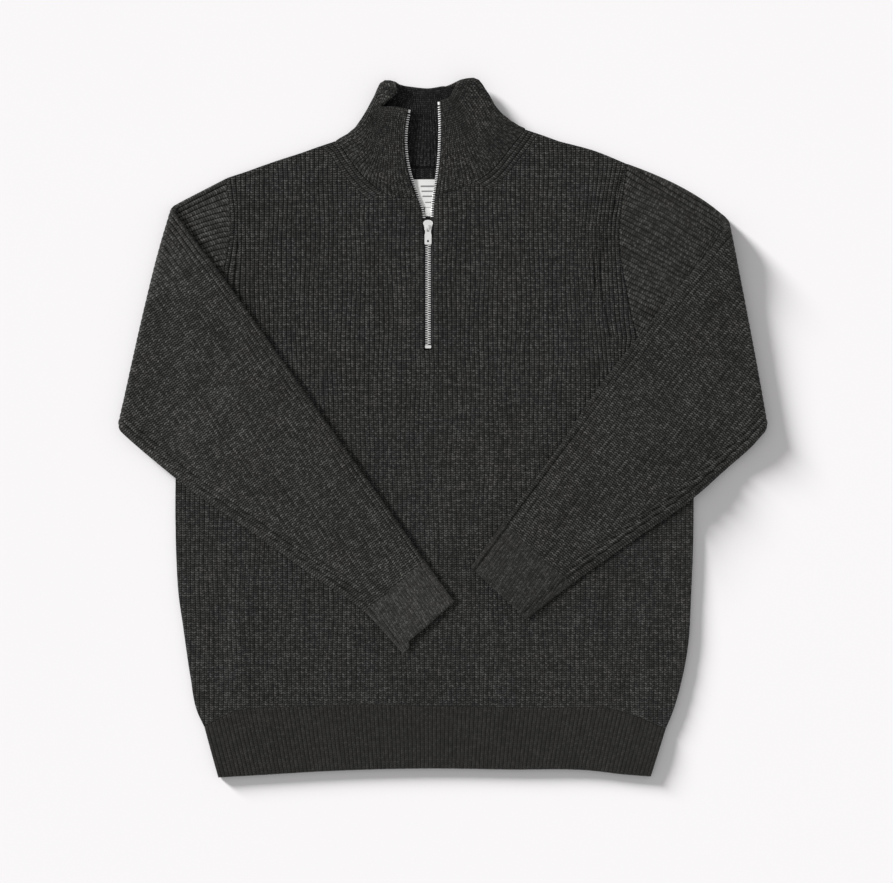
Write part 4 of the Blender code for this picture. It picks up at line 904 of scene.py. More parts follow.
def makeBack():
    mesh = ClothMesh()
    neck = collarSurface.seam(leftTurn - body["turnTrim"], rightTurn + body["turnTrim"])
    polygon = np.concatenate(straightSides() + [neck[::-1]])
    edges = np.concatenate([polygon, polygon[:1]])

    def underside(x, y):
        distance = distanceFrom(edges, x, y)
        rib = (x - body["firstValley"]) / body["pitch"]
        z = panelForm["backRibs"] * (1 - ribHeight(rib % 1.0)) + edgeDrop(distance, *panelForm["backEdge"])
        return np.column_stack([followArmholes(x, y), y, z])

    def inside(x, y):
        drop = edgeDrop(distanceFrom(neck, x, y), *panelForm["backNeck"])
        return np.column_stack([followArmholes(x, y), y, cloth["wall"] - drop])

    columnPanel(mesh, polygon, [], underside, inside, cloth["course"])
    # The back panel's upper face, seen inside the neck, gets the inner knit's painted shade
    return mesh.piece("backPanel", chunkyKnit, paintedShadeInnerKnit)


front = makeFront()
back = makeBack()
place(front, "garment", ["front"])
place(back, "garment", ["back"])
print("panels ready")


hemForm = {
    "seamEnds": [0, 0.0008, 0.002, 0.0045],  # rows of points, down from the seam and up from the foot
    "footEnds": [0.0030, 0.0014, 0.0005, 0],
    "middleFrom": 0.012,
    "middleTo": 0.008,
    "middleRows": 6,
    "insideAt": (0.4, 0.6),  # the shares of its height between which the inside has a row
    "seam": (0.0020, 0.0006),  # how edges round off: radius and depth
    "foot": (0.0032, 0.0019),
    "side": (0.0030, 0.0019),
    "endRibs": 0.35,  # share of the ribs' depth at seam and foot
    "swell": 0.0011,
    "underside": 0.6,  # share of the relief that the back band has
}


def makeHem(name, isFront):
    mesh = ClothMesh()
    seam, foot = runThrough(hemSeam), runThrough(hemFoot)
    width = hemFoot[-1][0] - hemFoot[0][0]
    places, ribs = ribColumns(0.0, width, width / round(width / body["hemPitch"]))
    shares = places / width
    top = smooth(np.linspace(0, 1, len(seam)), seam, shares)
    bottom = smooth(np.linspace(0, 1, len(foot)), foot, shares)
    height = np.linalg.norm(bottom - top, axis=1).mean()
    middle = np.linspace(hemForm["middleFrom"], height - hemForm["middleTo"], hemForm["middleRows"])
    levels = np.concatenate([hemForm["seamEnds"], middle, height - np.array(hemForm["footEnds"])]) / height
    valley = body["fineDepth"] * (1 - ribHeight(ribs % 1.0))
    fromSide = np.minimum(places, width - places)
    rows, plain = [], []
    low, high = hemForm["insideAt"]
    plainLevels = [level for level in levels if level in (0, 1) or low < level < high]
    for level in levels:
        plan = top + (bottom - top) * level
        drop = edgeDrop(level * height, *hemForm["seam"]) + edgeDrop((1 - level) * height, *hemForm["foot"])
        drop = valley * (hemForm["endRibs"] if level in (0, 1) else 1.0) + drop
        drop = np.maximum(drop, edgeDrop(fromSide, *hemForm["side"]))
        crown = cloth["stack"] + hemForm["swell"] * math.sin(math.pi * level)
        z = crown - drop if isFront else drop * hemForm["underside"]
        uv = np.column_stack([ribs, np.full(len(ribs), level * height / cloth["fineCourse"])])
        rows.append(mesh.row(places, np.column_stack([plan, z]), uv))
        if level in plainLevels:
            z = np.full(len(places), cloth["stack"] - cloth["wall"] if isFront else cloth["wall"])
            plain.append(mesh.row(places, np.column_stack([plan, z]), uv))
    closeWall(mesh, rows, plain, levels, plainLevels)
    return mesh.piece(name, hemKnit)


hemFront = makeHem("hemBandFront", True)
hemBack = makeHem("hemBandBack", False)
place(hemFront, "garment", ["hem_front"])
place(hemBack, "garment", ["hem_back"])
print("hem ready")


sleeves = {
    "right": {
        "tip": (-0.2393, 0.2750),
        "along": (-0.88306, -0.46926),
        "across": (0.46926, -0.88306),
        "foldAt": (-0.2921, 0.2404),
        "foldOut": (-0.97330, 0.22955),
        "armhole": armholeRight,
        "overarm": [(0.0, 0.0), (0.30, 0.0), (0.5440, 0.0), (0.6100, 0.0)],
        "underarm": [(0.1607, 0.1953), (0.2296, 0.1893), (0.2744, 0.1805), (0.3147, 0.1702),
                     (0.4054, 0.1376), (0.4822, 0.1113), (0.5500, 0.0870), (0.6120, 0.0790)],
        "cuffSeam": (0.5440, 0.095),
        "bow": [(0.0, 0.0012), (0.05, 0.0040), (0.11, 0.0048), (0.17, 0.0044), (0.22, 0.0036)],
        "roll": [(0.0, 0.0012), (0.04, 0.0003), (0.08, 0.0), (0.30, 0.0)],
        "capTurn": 0.53,
        "overarmDip": 0.0003,
        "underarmDip": 0.0018,
        "cuffTrim": 0.0060,
    },
    "left": {
        "tip": (0.2030, 0.2904),
        "along": (0.85689, -0.51550),
        "across": (-0.51550, -0.85689),
        "foldAt": (0.30682, 0.22752),
        "foldOut": (0.98201, 0.18883),
        "armhole": armholeLeft[::-1],
        "overarm": [(0.0, -0.0006), (0.0258, -0.0052), (0.0596, -0.0090), (0.0956, -0.0090),
                    (0.1245, -0.0057), (0.1600, -0.0030), (0.2516, -0.0038), (0.3486, -0.0061),
                    (0.4388, -0.0014), (0.5332, 0.0), (0.6190, 0.0015)],
        "underarm": [(0.2023, 0.1997), (0.2400, 0.1830), (0.2780, 0.1705), (0.3105, 0.1672),
                     (0.3501, 0.1593), (0.3875, 0.1518), (0.4861, 0.1203), (0.5599, 0.0976),
                     (0.6214, 0.0821)],
        "cuffSeam": (0.5400, 0.095),
        "bow": [(0.0, 0.0004), (0.05, 0.0009), (0.11, 0.0011), (0.17, 0.0009), (0.22, 0.0002)],
        "roll": [(0.0, 0.0040), (0.03, 0.0030), (0.07, 0.0008), (0.12, 0.0), (0.30, 0.0)],
        "capTurn": 0.30,
        "overarmDip": 0.0026,
        "underarmDip": 0.0030,
        "cuffTrim": 0.0010,
    },
}
sleeveForm = {
    "bowReach": 0.070,
    "widthGuess": 0.100,
    "rounds": 40,  # steps that find a row's width, and its place on the fold
    "foldRounds": 4,
    "foldAxis": 0.0068,
    "foldRadius": 0.0040,
    "cord": 0.0034,  # radius of the tube's long edges
    "cordRipple": 0.03,
    "swell": 0.0030,
    "cuffSwell": 0.0010,
    "swellPower": 0.8,
    "cuffLength": 0.0620,
    "bandRibs": 3,
    "deepFrom": 0.003,  # ribs get deeper towards the long edges
    "deepReach": 0.017,
    "deepest": 1.9,
    "belowFold": 0.60,  # how deep they are past the fold
    "upperRibs": 0.95,
    "capDepth": 1.15,
    "sway": 0.0006,
    "waves": [(1.0, 47, 60, 0.0), (0.7, 110, -71, 0.0)],
    "swayReach": 0.030,
    "liftReach": 0.050,
    "dipAt": 0.0072,  # a groove this far in from an edge that has rolled
    "dipHalf": 0.0040,
    "trimAt": 0.0140,  # the underarm end of a cuff's foot
    "trimReach": 0.0050,
    "innerEvery": 4,  # the inside has every fourth column
    "capEdge": (0.0026, 0.0021),  # how edges round off: radius and depth
    "seamEdge": (0.0020, 0.0004),
    "footEdge": (0.0030, 0.0016),
}
sags = [
    ("right elbow", -0.330, -0.012, -0.352, -0.030, 0.050, -0.0040),
    ("left elbow", 0.318, -0.030, 0.348, -0.045, 0.050, -0.0040),
]
sleeveFolds = [
    ("right elbow ridge", -0.270, -0.010, -0.225, 0.030, 0.026, 0.0022),
    ("right forearm ridge", -0.150, -0.060, -0.060, -0.150, 0.018, 0.0012),
    ("left cap roll", 0.270, 0.215, 0.190, 0.105, 0.024, 0.0028),
    ("left elbow ridge", 0.270, -0.020, 0.225, 0.030, 0.028, 0.0024),
    ("left forearm ridge", 0.140, -0.075, 0.070, -0.140, 0.018, 0.0012),
]
# Slanting stitches where a sleeve was narrowed, in a row along its underarm band
fashioning = {
    "fromUnder": 0.0110,
    "pitch": 0.0175,
    "halfLength": 0.0100,
    "halfWidth": 0.0021,
    "height": 0.0026,
    "tilt": math.radians(15),
    "grooveAt": 0.0034,
    "grooveHalf": 0.0016,
    "grooveDepth": 0.0026,
}
# A ring of a sleeve goes from the overarm edge over its front layer, round the underarm edge and back on
# its upper layer. These places put its columns in order.
ringPlaces = {
    "start": -0.05,
    "band": 0.30,
    "underArc": 0.40,
    "upperEnd": 0.80,  # the upper layer counts down from here
    "endArc": 1.03,
    "round": 1.10,
    "arcStep": 0.004,
    "front": (-0.045, 0.40),
    "upper": (0.42, 1.02),
}
# Rib numbers of the underarm band and of the overarm edge, which only colour the knit
ringRibs = {"band": 100, "overarm": -1.25, "arcStep": 0.25}
arcAngles = np.radians([60, 30, 0, -30, -60])


class SleeveShape:
    def __init__(self, side):
        self.table = sleeves[side]
        self.tip, self.along, self.across, self.foldAt, self.foldOut = (
            np.array(self.table[key]) for key in ("tip", "along", "across", "foldAt", "foldOut"))
        square = np.array([-self.foldOut[1], self.foldOut[0]])
        self.foldLine = square * np.sign(square @ self.across)
        seam = runThrough(self.table["armhole"]) - self.tip
        self.seam = np.column_stack([seam @ self.across, seam @ self.along])

    def read(self, key, at):
        rows = np.array(self.table[key])
        return smooth(rows[:, 0], rows[:, 1], at)

    def armhole(self, across):
        return np.interp(across, self.seam[:, 0], self.seam[:, 1]) - cloth["seamGap"]

    def plan(self, along, across):
        return self.tip + np.outer(along, self.along) + np.outer(across, self.across)

    def turnRow(self, across, angle):  # where the fold has turned the cloth by an angle
        start = self.tip - self.foldAt
        outAlong, outAcross = self.along @ self.foldOut, self.across @ self.foldOut
        roll = 0.0
        for _ in range(sleeveForm["foldRounds"]):
            past = angle * (sleeveForm["foldRadius"] + roll) - roll
            along = (past - start @ self.foldOut - across * outAcross) / outAlong
            roll = self.read("roll", (self.plan(along, across) - self.foldAt) @ self.foldLine)
        return along

    def cuffSeam(self, across):
        at, slope = self.table["cuffSeam"]
        return at + slope * across

    def rowEnds(self, row):  # where a row meets both long edges, in steps that settle there
        over, under = 0.0, sleeveForm["widthGuess"]
        for _ in range(sleeveForm["rounds"]):
            over = 0.5 * over + 0.5 * float(self.read("overarm", [float(row(np.array([over]))[0])])[0])
            under = 0.5 * under + 0.5 * float(self.read("underarm", [float(row(np.array([under]))[0])])[0])
        return over, under

    def bend(self, along, across, height):
        plan = self.plan(along, across)
        past = (plan - self.foldAt) @ self.foldOut
        downFold = (plan - self.foldAt) @ self.foldLine
        roll = self.read("roll", downFold)
        size = sleeveForm["foldRadius"] + roll
        axis = sleeveForm["foldAxis"] + roll
        bent = past + roll
        angle = np.clip(bent / size, 0, math.pi)
        beyond = np.maximum(bent - math.pi * size, 0)
        turned = np.where(bent > 0, (axis - height) * np.sin(angle) - roll - beyond, past)
        z = np.where(bent > 0, axis - (axis - height) * np.cos(angle), height)
        fromMiddle = np.abs(bent - math.pi * size / 2)
        bow = self.read("bow", downFold) * (1 - ease(fromMiddle / sleeveForm["bowReach"]))
        spot = plan + np.outer(turned - past + bow, self.foldOut)
        under = crownHeight(spot[:, 0], spot[:, 1]) + relief(sags, spot[:, 0], spot[:, 1])
        lift = under + cloth["restGap"] - (2 * axis - cloth["stack"])
        return np.column_stack([spot, z + lift * ease(beyond / sleeveForm["liftReach"])])


# The columns of one layer of a flattened tube: place, distance across and rib number of each
def layerColumns(over, under, pitch, bandRibs):
    low, high = over + sleeveForm["cord"], under - sleeveForm["cord"]
    band = bandRibs * pitch
    plain, plainRibs = ribColumns(low, high - band, pitch)
    plain, plainRibs = plain[:-1], plainRibs[:-1]
    edge, edgeRibs = ribColumns(0.0, band, pitch)
    places = np.concatenate([plain, ringPlaces["band"] + edge])
    across = np.concatenate([plain, high - band + edge])
    return places, across, np.concatenate([plainRibs, ringRibs["band"] + edgeRibs])


def tubeRing(over, under, pitch, bandRibs, frontHeight, backHeight):
    places, across, ribs = layerColumns(over, under, pitch, bandRibs)
    top, low = frontHeight(across, ribs), backHeight(across, ribs)
    cord = sleeveForm["cord"]
    parts = []

    def arc(angles, centre, outward, high, deep, start, firstRib):
        middle, half = (high + deep) / 2, (high - deep) / 2
        steps = np.arange(len(angles))
        bulge = 1.0 - sleeveForm["cordRipple"] * (steps % 2)
        parts.append((start + ringPlaces["arcStep"] * steps,
                      centre + outward * cord * np.cos(angles) * bulge,
                      middle + half * np.sin(angles) * bulge,
                      firstRib + ringRibs["arcStep"] * (steps + 1)))

    arc(arcAngles[2::-1], over + cord, -1, top[0], low[0], ringPlaces["start"], ringRibs["overarm"])
    parts.append((places, across, top, ribs))
    arc(arcAngles, under - cord, 1, top[-1], low[-1], ringPlaces["underArc"], ribs[-1])
    parts.append((ringPlaces["upperEnd"] - places[::-1], across[::-1], low[::-1], ribs[::-1]))
    arc(arcAngles[3:], over + cord, -1, top[0], low[0], ringPlaces["endArc"], ringRibs["overarm"])
    return tuple(np.concatenate(column) for column in zip(*parts))


def swellOf(over, under, at, rise):
    share = np.clip((at - over) / (under - over), 0, 1)
    return rise * np.sin(np.pi * share) ** sleeveForm["swellPower"]


def fashionedHeight(along, across, under):
    a = along % fashioning["pitch"] - fashioning["pitch"] / 2
    b = under - across - fashioning["fromUnder"]
    c, s = math.cos(fashioning["tilt"]), math.sin(fashioning["tilt"])
    alongMark, acrossMark = (a * c + b * s) / fashioning["halfLength"], b * c - a * s
    near = np.minimum(np.hypot(alongMark, acrossMark / fashioning["halfWidth"]), 1)
    fromGroove = (np.abs(acrossMark) - fashioning["grooveAt"]) / fashioning["grooveHalf"]
    beside = np.minimum(np.hypot(alongMark, fromGroove), 1)
    return fashioning["height"] * (1 - near**2) ** 2 - fashioning["grooveDepth"] * (1 - beside**2) ** 2


class TubeRow:  # a ring of a sleeve or cuff: where it lies along the tube, and how its cloth is there
    def __init__(self, along, swell=0.0, drop=0.0, depth=1.0, shift=0.0, dip=0.0, underDip=0.0, trim=0.0,
                 marks=0.0):
        self.along, self.swell, self.drop, self.depth = along, swell, drop, depth
        self.shift, self.dip, self.underDip, self.trim, self.marks = shift, dip, underDip, trim, marks


def tubeMesh(name, shape, rows, pitch, depth, course, bandRibs, foldShare, material):
    mesh = ClothMesh()
    outer, inner = [], []
    for row in rows:
        over, under = shape.rowEnds(row.along)

        def valleys(across, ribs):
            fromEdge = np.minimum(across - over, under - across)
            plain = rising(fromEdge, sleeveForm["deepFrom"], sleeveForm["deepReach"])
            deeper = 1 + (sleeveForm["deepest"] - 1) * (1 - plain)
            return depth * row.depth * deeper * (1 - ribHeight(ribs % 1.0)) + row.drop

        def frontHeight(across, ribs):
            return cloth["stack"] - valleys(across, ribs)

        def backHeight(across, ribs):
            raised = swellOf(over, under, across, row.swell)
            raised = raised + row.marks * fashionedHeight(row.along(across), across, under)
            dip = 0
            for edge, deep in ((across - over, row.dip), (under - across, row.underDip)):
                near = np.minimum(np.abs(edge - sleeveForm["dipAt"]) / sleeveForm["dipHalf"], 1)
                dip = dip + deep * (1 - near**2) ** 2
            return valleys(across, ribs) * sleeveForm["upperRibs"] - raised + dip

        places, across, heights, ribs = tubeRing(over, under, pitch, bandRibs, frontHeight, backHeight)
        reach = sleeveForm["swayReach"]
        inFromEdge = ease((across - over) / reach) * ease((under - across) / reach)
        sway = sleeveForm["sway"] * wander(sleeveForm["waves"], row.along(across), across)
        shifted = across + (row.shift + sway) * inFromEdge
        trim = row.trim * (1 - rising(across, under - sleeveForm["trimAt"], sleeveForm["trimReach"]))
        along = row.along(shifted) - trim
        points = shape.bend(along, shifted, heights)
        start, end = ringPlaces["upper"]
        isUpper = (places > start) & (places < end)
        points[isUpper, 2] += foldShare * relief(sleeveFolds, points[isUpper, 0], points[isUpper, 1])
        uv = np.column_stack([ribs, along / course])
        closing = (places[0] + ringPlaces["round"], uv[0])
        outer.append(mesh.row(places, points, uv, closing))
        coarse = slice(None, None, sleeveForm["innerEvery"])
        over, under = over + cloth["wall"], under - cloth["wall"]
        innerAcross = np.clip(across[coarse], over, under)
        start, end = ringPlaces["front"]
        isFront = (places[coarse] > start) & (places[coarse] < end)
        lift = swellOf(over, under, innerAcross, row.swell)
        innerHeights = np.where(isFront, cloth["stack"] - cloth["wall"], cloth["wall"] - lift)
        points = shape.bend(row.along(innerAcross) - trim[coarse], innerAcross, innerHeights)
        inner.append(mesh.row(places[coarse], points, uv[coarse], closing))
    mesh.skin(outer)
    mesh.skin(inner)
    for end in (0, -1):
        mesh.stitch(outer[end], inner[end])
    return mesh.piece(name, material)


# Rows of points down a sleeve, as shares of its way from the armhole to the fold and on to the cuff, and
# where its relief comes in or goes out: start and stretch of that way
sleeveRows = {
    "toFold": np.concatenate([[0.0, 0.012, 0.030, 0.055], np.linspace(0.09, 0.97, 18)]),
    "turnDegrees": 12,
    "toCuff": np.concatenate([np.linspace(0, 1, 86)[1:-1], [0.994, 0.998, 1.0]]),
    "capLength": 0.10,
    "lowerLength": 0.35,
    "capShift": 0.018,
    "capFade": 4.0,
    "foldLoss": 0.6,  # how much of the ribs' depth the fold takes
    "swellIn": (0.0, 0.25),
    "swellOut": (0.75, 0.25),
    "swellLoss": 0.65,
    "seamRibs": 0.45,  # share of the ribs' depth at the cuff's seam
    "seamReach": 0.008,
    "dip": (0.55, 0.25),
    "underDip": (0.86, 0.10),
    "marksIn": (0.0, 0.06),
    "marksEnd": 0.030,
}


def makeSleeve(side):
    shape = SleeveShape(side)
    rows = []
    for share in sleeveRows["toFold"]:
        drop = edgeDrop(share * sleeveRows["capLength"], *sleeveForm["capEdge"])
        shift = shape.table["capTurn"] * sleeveRows["capShift"] * math.exp(-share * sleeveRows["capFade"])
        rows.append(TubeRow(lambda a, s=share: (1 - s) * shape.armhole(a) + s * shape.turnRow(a, 0.0),
                            drop=drop, depth=sleeveForm["capDepth"], shift=shift))
    for degrees in range(0, 181, sleeveRows["turnDegrees"]):
        angle = math.radians(degrees)
        rows.append(TubeRow(lambda a, t=angle: shape.turnRow(a, t),
                            depth=1 - sleeveRows["foldLoss"] * math.sin(angle)))
    for share in sleeveRows["toCuff"]:
        left = (1 - share) * sleeveRows["lowerLength"]
        swell = sleeveForm["swell"] * rising(share, *sleeveRows["swellIn"])
        swell = swell * (1 - sleeveRows["swellLoss"] * rising(share, *sleeveRows["swellOut"]))
        fromSeam = ease(left / sleeveRows["seamReach"])
        depth = sleeveRows["seamRibs"] + (1 - sleeveRows["seamRibs"]) * fromSeam
        marks = rising(share, *sleeveRows["marksIn"]) * ease(left / sleeveRows["marksEnd"])
        rows.append(TubeRow(lambda a, s=share: (1 - s) * shape.turnRow(a, math.pi) + s * shape.cuffSeam(a),
                            swell=swell, drop=edgeDrop(left, *sleeveForm["seamEdge"]),
                            depth=sleeveForm["belowFold"] * depth,
                            dip=shape.table["overarmDip"] * rising(share, *sleeveRows["dip"]),
                            underDip=shape.table["underarmDip"] * rising(share, *sleeveRows["underDip"]),
                            marks=marks))
    return tubeMesh("sleeve" + side.title(), shape, rows, body["pitch"], body["ribDepth"], cloth["course"],
                    sleeveForm["bandRibs"], 1.0, sleeveKnit[side])


# Rows of points down a cuff from its seam, and up from its foot
cuffRows = {"down": (0.0, 0.0006, 0.0016, 0.0035, 0.010, 0.018, 0.027, 0.036, 0.045, 0.052),
            "up": (0.0050, 0.0030, 0.0015, 0.0005, 0.0)}


def makeCuff(side):
    shape = SleeveShape(side)
    length = sleeveForm["cuffLength"]
    rows = []
    for at in (*cuffRows["down"], *(length - up for up in cuffRows["up"])):
        drop = edgeDrop(at, *sleeveForm["seamEdge"]) + edgeDrop(length - at, *sleeveForm["footEdge"])
        rows.append(TubeRow(lambda a, d=at: shape.cuffSeam(a) + d, swell=sleeveForm["cuffSwell"], drop=drop,
                            dip=shape.table["overarmDip"], underDip=shape.table["underarmDip"],
                            trim=shape.table["cuffTrim"] * ease(at / length)))
    return tubeMesh("cuff" + side.title(), shape, rows, body["cuffPitch"], body["cuffDepth"],
                    cloth["fineCourse"], 0, 0.0, cuffKnit[side])


for side in ("right", "left"):
    sleeve = makeSleeve(side)
    cuff = makeCuff(side)
    place(sleeve, "garment", ["sleeve_" + side])
    place(cuff, "garment", ["cuff_" + side])
print("sleeves ready")


collarForm = {
    "height": 0.100,
    "pitch": 0.0037,
    "ribDepth": 0.0011,
    "leans": [("zip", 0.0, 0.0), ("right front", 0.030, -0.004), ("right side", 0.075, -0.013),
              ("right turn", 0.135, -0.010), ("back right", 0.185, 0.0), ("back left", 0.270, 0.0),
              ("left turn", 0.335, 0.010), ("left shoulder", 0.400, 0.011), ("left front", 0.440, 0.004),
              ("other zip", 0.480, 0.0)],
    "leanOver": 0.55,
    "rimStart": 0.972,
    "rimExtra": 0.0009,  # how much thicker the rim is, on the outer side
    "rimGrows": (0.88, 0.09),
    "ribsFade": (0.90, 0.07),
    "faded": 0.7,
    "rimRipple": 0.06,
    "endEdge": (0.0026, 0.0012),  # how edges round off: radius and depth
    "seamEdge": (0.0030, 0.0010),
    "backEdge": (0.0050, 0.0019),
    "backFrom": 0.020,
    "lowest": 0.0002,  # above the surface that it lies on
    "seamRows": (0.0, 0.008, 0.018, 0.035),
    "evenRows": np.linspace(0.06, 0.94, 21),
    # rows of the inside face, counted from the seam, that get the near black painted shade
    "creaseRows": 3,
    "rimAngles": np.radians([65, 40, 15, -15, -40, -65]),
}


def makeCollar():
    mesh = ClothMesh()
    pitch = collarSurface.length / round(collarSurface.length / collarForm["pitch"])
    places, ribs = ribColumns(0.0, collarSurface.length, pitch)
    height, start = collarForm["height"], collarForm["rimStart"]
    shares = np.concatenate([collarForm["seamRows"], collarForm["evenRows"], [start]])
    fromEnd = edgeDrop(np.minimum(places, collarSurface.length - places), *collarForm["endEdge"])
    half = cloth["wall"] / 2
    valleys = 1 - ribHeight(ribs % 1.0)
    outer, rim, inner = [], [], []

    # The ribs leave the neckline square to it, and then lean towards the zip
    leans = np.array([row[1:] for row in collarForm["leans"]])
    lean = smooth(leans[:, 0] * collarSurface.length / leans[-1, 0], leans[:, 1], places)

    toTurns = np.minimum(places - rightTurn, leftTurn - places)
    atBack = ease(toTurns / collarForm["backFrom"])

    def addRow(rows, share, out):
        spots = np.clip(places + lean * ease(share / collarForm["leanOver"]), 0, collarSurface.length)
        _, _, normal = collarSurface.frame(spots, share)
        points = collarSurface.at(spots, share) + normal * out[:, None]
        points[:, 2] = np.maximum(points[:, 2], collarForm["lowest"])
        uv = np.column_stack([ribs, np.full(len(ribs), share * height / cloth["fineCourse"])])
        rows.append(mesh.row(places, points, uv))

    for share in shares:
        fade = 1 - collarForm["faded"] * rising(share, *collarForm["ribsFade"])
        drop = collarForm["ribDepth"] * valleys * fade + fromEnd
        drop = drop + edgeDrop(share * height, *collarForm["seamEdge"])
        extra = collarForm["rimExtra"] * rising(share, *collarForm["rimGrows"])
        addRow(outer, share, half + extra - drop)
        addRow(inner, share, drop + atBack * edgeDrop(share * height, *collarForm["backEdge"]) - half)
    rimMiddle = collarForm["rimExtra"] / 2
    for angle in collarForm["rimAngles"]:
        out = (half + rimMiddle) * math.sin(angle) * (1 - collarForm["rimRipple"] * valleys)
        out = out + rimMiddle - np.sign(math.sin(angle)) * fromEnd
        addRow(rim, start + (1 - start) * math.cos(angle), out)
    mesh.skin(outer + rim)
    mesh.stitch(outer[0], inner[0])
    crease = collarForm["creaseRows"]
    # The inside face gets painted shade
    mesh.kind = 1
    mesh.skin([rim[-1]] + inner[:crease - 1:-1])
    # Its first rows from the seam get a near black painted shade
    mesh.kind = 2
    mesh.skin(inner[crease::-1])
    mesh.kind = 0
    chain = [outer[-1]] + rim + [inner[-1]]
    middle = len(chain) // 2
    for end in (0, -1):
        edges = [[list(range(len(rows))), [r[1][end] for r in rows], [r[2][end] for r in rows]]
                 for rows in (outer, inner, chain[:middle], chain[:middle - 1:-1])]
        mesh.stitch(edges[0], edges[1])
        mesh.stitch(edges[2], edges[3])
    return mesh.piece("standCollar", collarKnit, paintedShadeInnerKnit, paintedSeamShadeKnit)


collar = makeCollar()
place(collar, "garment", ["collar"])
print("collar ready")


zipForm = {
    "tapeZ": 0.0056,
    "tapeLow": -0.0012,  # from the teeth's line towards the open side
    "tapeHigh": 0.0084,
    "tapeWall": 0.0010,
    "tapeFolds": (0.0032, 0.0030, 0.0004),  # columns of its section, in from the low side and the high side
    "tapeRings": 110,
    "collarDrop": 0.0023,
    "pitch": 0.0025,
    "firstTooth": 0.0008,
    "lastTooth": 0.0012,
    "closedTo": 0.2190,
    "slider": (-0.0010, 0.0125),  # the stretch over the chain's end that the slider takes
    "sharpFrom": math.radians(50),
}
collarZipShares = (0.10, 0.22, 0.36, 0.50, 0.64, 0.78, 0.88, 0.955)
# Rings of a tooth from its root on the tape to its tip: place, half its thickness, half its height
openTooth = [(0.0014, 0.00050, 0.0009), (0.0011, 0.00065, 0.00125), (-0.0014, 0.00065, 0.00120),
             (-0.0019, 0.00045, 0.0008)]
closedTooth = [(0.0015, 0.00050, 0.0009), (0.0012, 0.00065, 0.00125), (-0.0012, 0.00060, 0.00120),
               (-0.0020, 0.00045, 0.0009)]
toothCorners = ((1, 0.6), (0.6, 1), (-0.6, 1), (-1, 0.6), (-1, -0.6), (-0.6, -1), (0.6, -1), (1, -0.6))
millimetre = 0.001  # the unit of woven patterns


def zipRun(side):  # the teeth's line with the directions into the cloth and up, by distance from the foot
    teeth, towards = (3, -1.0) if side == "right" else (4, 1.0)
    rows = [[(row[teeth], row[1], zipForm["tapeZ"]), (towards, 0, 0), (0, 0, 1)] for row in zipCourse[::-1]]
    end = np.array([0.0 if side == "right" else collarSurface.length])
    fromEdge = abs(zipCourse[0][teeth] - zipCourse[0][2 if side == "right" else 5])
    for share in collarZipShares:
        at = collarSurface.at(end, share)[0]
        run, _, normal = (part[0] for part in collarSurface.frame(end, share))
        inwards = run if side == "right" else -run
        rows.append([at - inwards * fromEdge - normal * zipForm["collarDrop"], inwards, normal])
    rows = np.array([np.array(row, float) for row in rows])
    knots = np.concatenate([[0], np.cumsum(np.linalg.norm(np.diff(rows[:, 0], axis=0), axis=1))])
    return knots, rows


def makeTape(side, material):
    mesh = ClothMesh()
    knots, rows = zipRun(side)
    low, high, half = zipForm["tapeLow"], zipForm["tapeHigh"], zipForm["tapeWall"] / 2
    fold, bend, edge = zipForm["tapeFolds"]
    section = [(low, -half), (low, half), (low + fold, half), (high - bend, half), (high - edge, half),
               (high, 0.0), (high - edge, -half), (high - bend, -half)]
    rings = []
    for distance in np.linspace(0.0, knots[-1], zipForm["tapeRings"]):
        point, inwards, up = smooth(knots, rows, [distance])[0]
        points = [point + inwards * s + up * t for s, t in section]
        uv = [(s / millimetre, distance / millimetre) for s, _ in section]
        rings.append(mesh.row(range(len(section)), points, uv, (len(section), uv[0])))
    mesh.skin(rings)
    for ring in (rings[0], rings[-1]):
        mesh.stitch([list(range(6)), ring[1][1:7], ring[2][1:7]],
                    [[0, 5], [ring[1][0], ring[1][7]], [ring[2][0], ring[2][7]]])
    return mesh.piece("zipTape" + side.title(), material)


def makeTeeth(side, material):
    knots, rows = zipRun(side)
    closedTo = zipForm["closedTo"] - zipCourse[-1][1]
    first = zipForm["firstTooth"] + (0 if side == "right" else zipForm["pitch"] / 2)
    distances = np.arange(first, knots[-1] - zipForm["lastTooth"], zipForm["pitch"])
    foot, mouth = zipForm["slider"]
    distances = distances[(distances < closedTo + foot) | (distances > closedTo + mouth)]
    count = len(toothCorners)
    points, faces = [], []
    for distance in distances:
        point, inwards, up = smooth(knots, rows, [distance])[0]
        ahead = np.cross(up, inwards)
        form = closedTooth if distance < closedTo else openTooth
        start = len(points)
        for s, half, tall in form:
            for a, u in toothCorners:
                points.append(point + inwards * s + ahead * a * half + up * u * tall)
        for ring in range(start, len(points) - count, count):
            for k in range(count):
                low, high = ring + k, ring + (k + 1) % count
                faces.append((low, high, high + count, low + count))
        faces.append(tuple(range(start, start + count)))
        faces.append(tuple(range(len(points) - count, len(points))))
    mesh = bpy.data.meshes.new("zipTeeth" + side.title())
    mesh.from_pydata([tuple(p) for p in points], [], faces)
    return finishPiece("zipTeeth" + side.title(), mesh, [material], zipForm["sharpFrom"])


weave = {"low": 0.2, "high": 1.3, "relief": 0.0002}  # heights of the dark gaps and of the light threads


